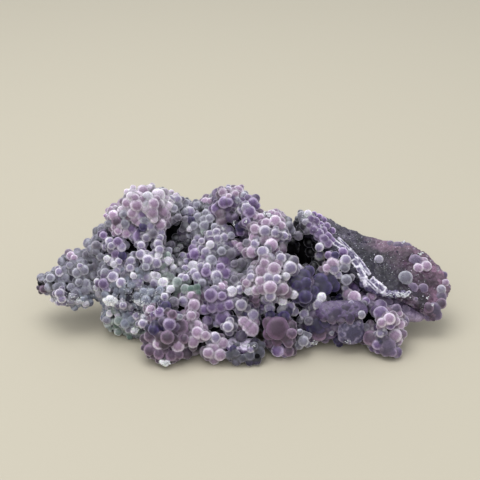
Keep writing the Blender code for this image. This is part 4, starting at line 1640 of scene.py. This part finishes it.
class Slabs:
    """All the tablets, fused with the beads of their edges into one piece."""

    @staticmethod
    def reach(points: np.ndarray, slab: Slab) -> np.ndarray:
        """Gives points in a slab's own frame, where its box runs from -1 to 1."""
        m = np.array(slab.frame())
        return (points - m[:3, 3]) @ np.linalg.inv(m[:3, :3]).T

    @classmethod
    def covers(cls, points: np.ndarray) -> np.ndarray:
        """Tells which points lie on a slab.

        Args:
            points: Places on the skin, in millimetres.

        Returns:
            A mask.
        """
        inside = np.zeros(len(points), bool)
        for slab in SLABS:
            inside |= (np.linalg.norm(cls.reach(points, slab), axis=1) < 1.08)
        return inside

    def build(self, clusters: Clusters, rng: np.random.Generator) -> bpy.types.Object:
        """Models each slab from a subdivided cube and fuses the beads to its edge.

        Args:
            clusters: What fuses them.
            rng: Where chance comes from.

        Returns:
            The piece, still in millimetres.
        """
        blocks, rows = [], []
        for slab in SLABS:
            deselect()
            bpy.ops.mesh.primitive_cube_add(size=1.9)
            block = bpy.context.object
            bpy.ops.object.mode_set(mode="EDIT")
            bpy.ops.mesh.select_all(action="SELECT")
            bpy.ops.mesh.subdivide(number_cuts=12)
            bpy.ops.object.mode_set(mode="OBJECT")
            apply_modifier(block, "CAST", factor=slab.round, radius=0.0, size=1.05)
            apply_modifier(block, "SMOOTH", factor=0.5, iterations=3)
            block.data.transform(slab.frame())
            blocks.append(block)
            matrix = slab.frame()
            wide = [k for k in range(3) if k != slab.thin]
            up = matrix.to_3x3().col[slab.thin].normalized()
            if up.y > 0.3:
                up = -up
            for index in range(slab.beads):
                turn = 2 * math.pi * (index + rng.uniform(-0.3, 0.3)) / slab.beads
                local = Vector((0, 0, 0))
                radius = rng.uniform(0.9, 1.7)
                stretch = 1 / max(abs(math.cos(turn)), abs(math.sin(turn))) ** 0.25
                local[wide[0]] = math.cos(turn) * stretch * (1 - radius / slab.size[wide[0]])
                local[wide[1]] = math.sin(turn) * stretch * (1 - radius / slab.size[wide[1]])
                place = matrix @ local
                if place.z < radius:
                    continue
                away = (place - matrix.translation).normalized()
                place -= up * min(0.0, radius - slab.size[slab.thin]) * rng.uniform(0.2, 0.9)
                rows.append((place[:], radius, (away + up).normalized()[:], np.array(slab.core) * 1.2, np.array(slab.rim)))
        beads = Balls(*(np.array([row[k] for row in rows], float) for k in range(5)))
        for block in blocks:
            block.select_set(True)
        bpy.context.view_layer.objects.active = blocks[0]
        bpy.ops.object.join()
        apply_modifier(blocks[0], "TRIANGULATE")
        tablets = clusters.fuse("tablets", beads, under=blocks[0], cell=0.36)
        places, _ = read_mesh(tablets)
        swell = np.array([noise.fractal(Vector(p) / 3.0, 1.0, 2.0, 3) for p in places])
        bare = np.zeros((len(places), 3))
        best = np.full(len(places), 99.0)
        for slab in SLABS:
            local = np.abs(self.reach(places, slab))
            wide = [k for k in range(3) if k != slab.thin]
            gap = np.linalg.norm(local, axis=1)
            edge = smoothstep(0.66, 1.02, np.hypot(local[:, wide[0]], local[:, wide[1]]) + 0.12 * swell)[:, None]
            colour = np.array(slab.core) * (1 - edge) + np.array(slab.rim) * edge
            closer = gap < best
            bare[closer] = colour[closer]
            best = np.minimum(best, gap)
        bare *= (1 + 0.4 * swell)[:, None]
        painted = clusters.colours(tablets, beads, bare)
        moved = places + normals_of(tablets) * (swell * 0.14)[:, None]
        moved[:, 2] = np.maximum(moved[:, 2], 0.0)
        tablets.data.vertices.foreach_set("co", moved.astype(np.float32).ravel())
        paint(tablets, painted)
        return tablets


@dataclass(frozen=True)
class Patch:
    """A patch of small crystals, as seen in the photograph.

    Attributes:
        at: Pixel of its middle.
        spread: How far it reaches to each side and up and down, in pixels.
        count: How many crystals it has.
        size: Radius of the largest, in millimetres.
        bright: How white they are, from 0 to 1: the white of the druse, and at the small bright spots a white that
            stands for painted glints.
    """

    at: tuple[float, float]
    spread: tuple[float, float]
    count: int
    size: float
    bright: float


# Crystal patches: the druse at the left; the small bright patches away from it, at the peaks, the wing's lower edge,
# the blade tip and the ribs, are white crystals that stand for painted glints.
PATCHES = (
    Patch((150, 296), (22, 15), 110, 0.34, 0.8),
    Patch((146, 309), (12, 8), 30, 0.42, 0.8),
    Patch((118, 299), (14, 8), 24, 0.40, 0.7),
    Patch((111, 301), (6, 3), 20, 0.70, 1.0),
    Patch((136, 330), (4, 3), 16, 0.60, 1.0),
    Patch((142, 317), (4, 3), 16, 0.60, 1.0),
    Patch((139, 303), (5, 4), 20, 0.60, 1.0),
    Patch((130, 288), (12, 10), 30, 0.34, 0.7),
    Patch((166, 363), (4, 2.5), 26, 0.60, 1.0),
    Patch((75, 299), (16, 5), 36, 0.42, 0.9),
    Patch((315, 343), (4, 2), 16, 0.60, 1.0),
    Patch((268, 215), (4, 4), 22, 0.60, 1.0),
    Patch((246, 221), (2, 3), 8, 0.50, 1.0),
    Patch((234, 222), (2, 3), 8, 0.50, 1.0),
    Patch((306, 215), (6, 3), 26, 0.42, 0.9),
    Patch((324, 226), (9, 6), 22, 0.30, 0.9),
    Patch((360, 240), (22, 9), 70, 0.20, 0.35),
    Patch((385, 262), (20, 16), 100, 0.20, 0.35),
    Patch((412, 270), (20, 18), 50, 0.20, 0.30),
    Patch((421, 254), (3, 2), 16, 0.55, 1.0),
    Patch((403, 243), (2, 2), 8, 0.50, 1.0),
    Patch((427, 298), (1.3, 1.3), 7, 0.60, 1.0),
    Patch((432.5, 305), (1.5, 1), 6, 0.50, 1.0),
    Patch((400, 295), (12, 2.5), 60, 0.42, 1.0),
    Patch((350, 342), (7, 1.5), 12, 0.40, 0.9),
    Patch((249, 346), (9, 1.5), 14, 0.42, 0.9),
)


@dataclass
class Crystals:
    """Small pointed crystals that stand on the finished skins."""

    tree: BVHTree
    view: Viewpoint
    rng: np.random.Generator

    def point(self) -> tuple[np.ndarray, np.ndarray]:
        """Models one six-sided crystal with a pointed end, and gives its mesh."""
        deselect()
        bpy.ops.mesh.primitive_cylinder_add(vertices=6, radius=1.0, depth=1.6)
        crystal = bpy.context.object
        bpy.ops.object.mode_set(mode="EDIT")
        bpy.ops.mesh.select_all(action="DESELECT")
        made = bmesh.from_edit_mesh(crystal.data)
        for face in made.faces:
            face.select = face.normal.z > 0.9
        bmesh.update_edit_mesh(crystal.data)
        bpy.ops.mesh.extrude_region_move(TRANSFORM_OT_translate={"value": (0, 0, 0.8)})
        bpy.ops.mesh.merge(type="CENTER")
        bpy.ops.object.mode_set(mode="OBJECT")
        apply_modifier(crystal, "TRIANGULATE")
        mesh = read_mesh(crystal)
        bpy.data.objects.remove(crystal)
        return mesh

    def build(self) -> bpy.types.Object:
        """Copies the crystal over every patch.

        Returns:
            The piece, still in millimetres.
        """
        places, corners = self.point()
        every, faces, colours = [], [], []
        for patch in PATCHES:
            for _ in range(patch.count):
                x, y = (c + s * self.rng.normal(0, 0.55) for c, s in zip(patch.at, patch.spread))
                found = meet(self.tree, self.view, x, y)
                if found is None or found[2] > 0:
                    continue
                spot, normal, _ = found
                lean = (normal + Vector(self.rng.normal(0, 0.45, 3))).normalized()
                radius = patch.size * self.rng.uniform(0.45, 1.0) * 0.6
                turned = lean.to_track_quat("Z", "X").to_matrix() @ Matrix.Rotation(self.rng.uniform(0, 6.28), 3, "Z")
                body = np.array(turned) * np.array((radius, radius, radius * self.rng.uniform(0.9, 1.7)))
                corner = places @ body.T + np.array(spot)
                corner[:, 2] = np.maximum(corner[:, 2], 0.02)
                faces.append(corners + len(every) * len(places))
                every.append(corner)
                # Painted glints: the brightest crystals are painted near white.
                white = patch.bright * self.rng.uniform(0.4, 1.0)
                shade = np.array(linear(140, 146, 166)) * (1 - white) + np.array(linear(246, 246, 250)) * white
                colours.append(np.tile(shade, (len(places), 1)))
        druse = write_mesh("druse", np.concatenate(every), np.concatenate(faces))
        paint(druse, np.concatenate(colours))
        return druse


def main() -> None:
    """Builds the scene."""
    logging.basicConfig(level=logging.INFO, format="%(message)s")
    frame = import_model()
    deselect()
    view = Viewpoint()
    view.build()
    Studio().build()
    rng = np.random.default_rng(5)
    surface = Surface(frame["nodes"][NODE])
    grapes = Grapes(surface, view, rng)
    seen = grapes.seen()
    fill = grapes.fill()
    LOG.info("%d balls seen, %d filled", len(seen), len(fill))
    clusters = Clusters(prototype_ball())
    surface.sink(grapes.ground_depth)
    # Painted shade: the grape skins go near black where no ball is near, in the gaps between balls.
    bare = Tone.DARK.core
    stems = grapes.stems(fill.chosen(fill.radius >= 1.5))
    ground = clusters.fuse("ground", stems, under=surface.skin, cell=0.6)
    places, _ = read_mesh(ground)
    paint(ground, clusters.colours(ground, stems, grapes.ground_colour(places)))
    pieces = [(ground, GROUND_SKIN)]
    balls = joined([seen, fill])
    across = balls.centre[:, 0]
    groups = {"wing_grapes": (-99, -50), "left_grapes": (-50, -22), "middle_grapes": (-22, 12), "right_grapes": (12, 99)}
    for name, (low, high) in groups.items():
        group = balls.chosen((across >= low) & (across < high))
        piece = clusters.fuse(name, group)
        paint(piece, clusters.colours(piece, group, bare))
        pieces.append((piece, GRAPE_SKIN))
    blade = Blade().build(clusters, rng)
    pieces.append((blade, BLADE_SKIN))
    pieces.append((Slabs().build(clusters, rng), TABLET))
    pieces.append((Ladder(tree_of([blade, ground]), view).build(), ICE))
    pieces.append((Crystals(tree_of([piece for piece, _ in pieces]), view, rng).build(), DRUSE))
    for piece, finish in pieces:
        settle(piece, finish)


if __name__ == "__main__":
    main()
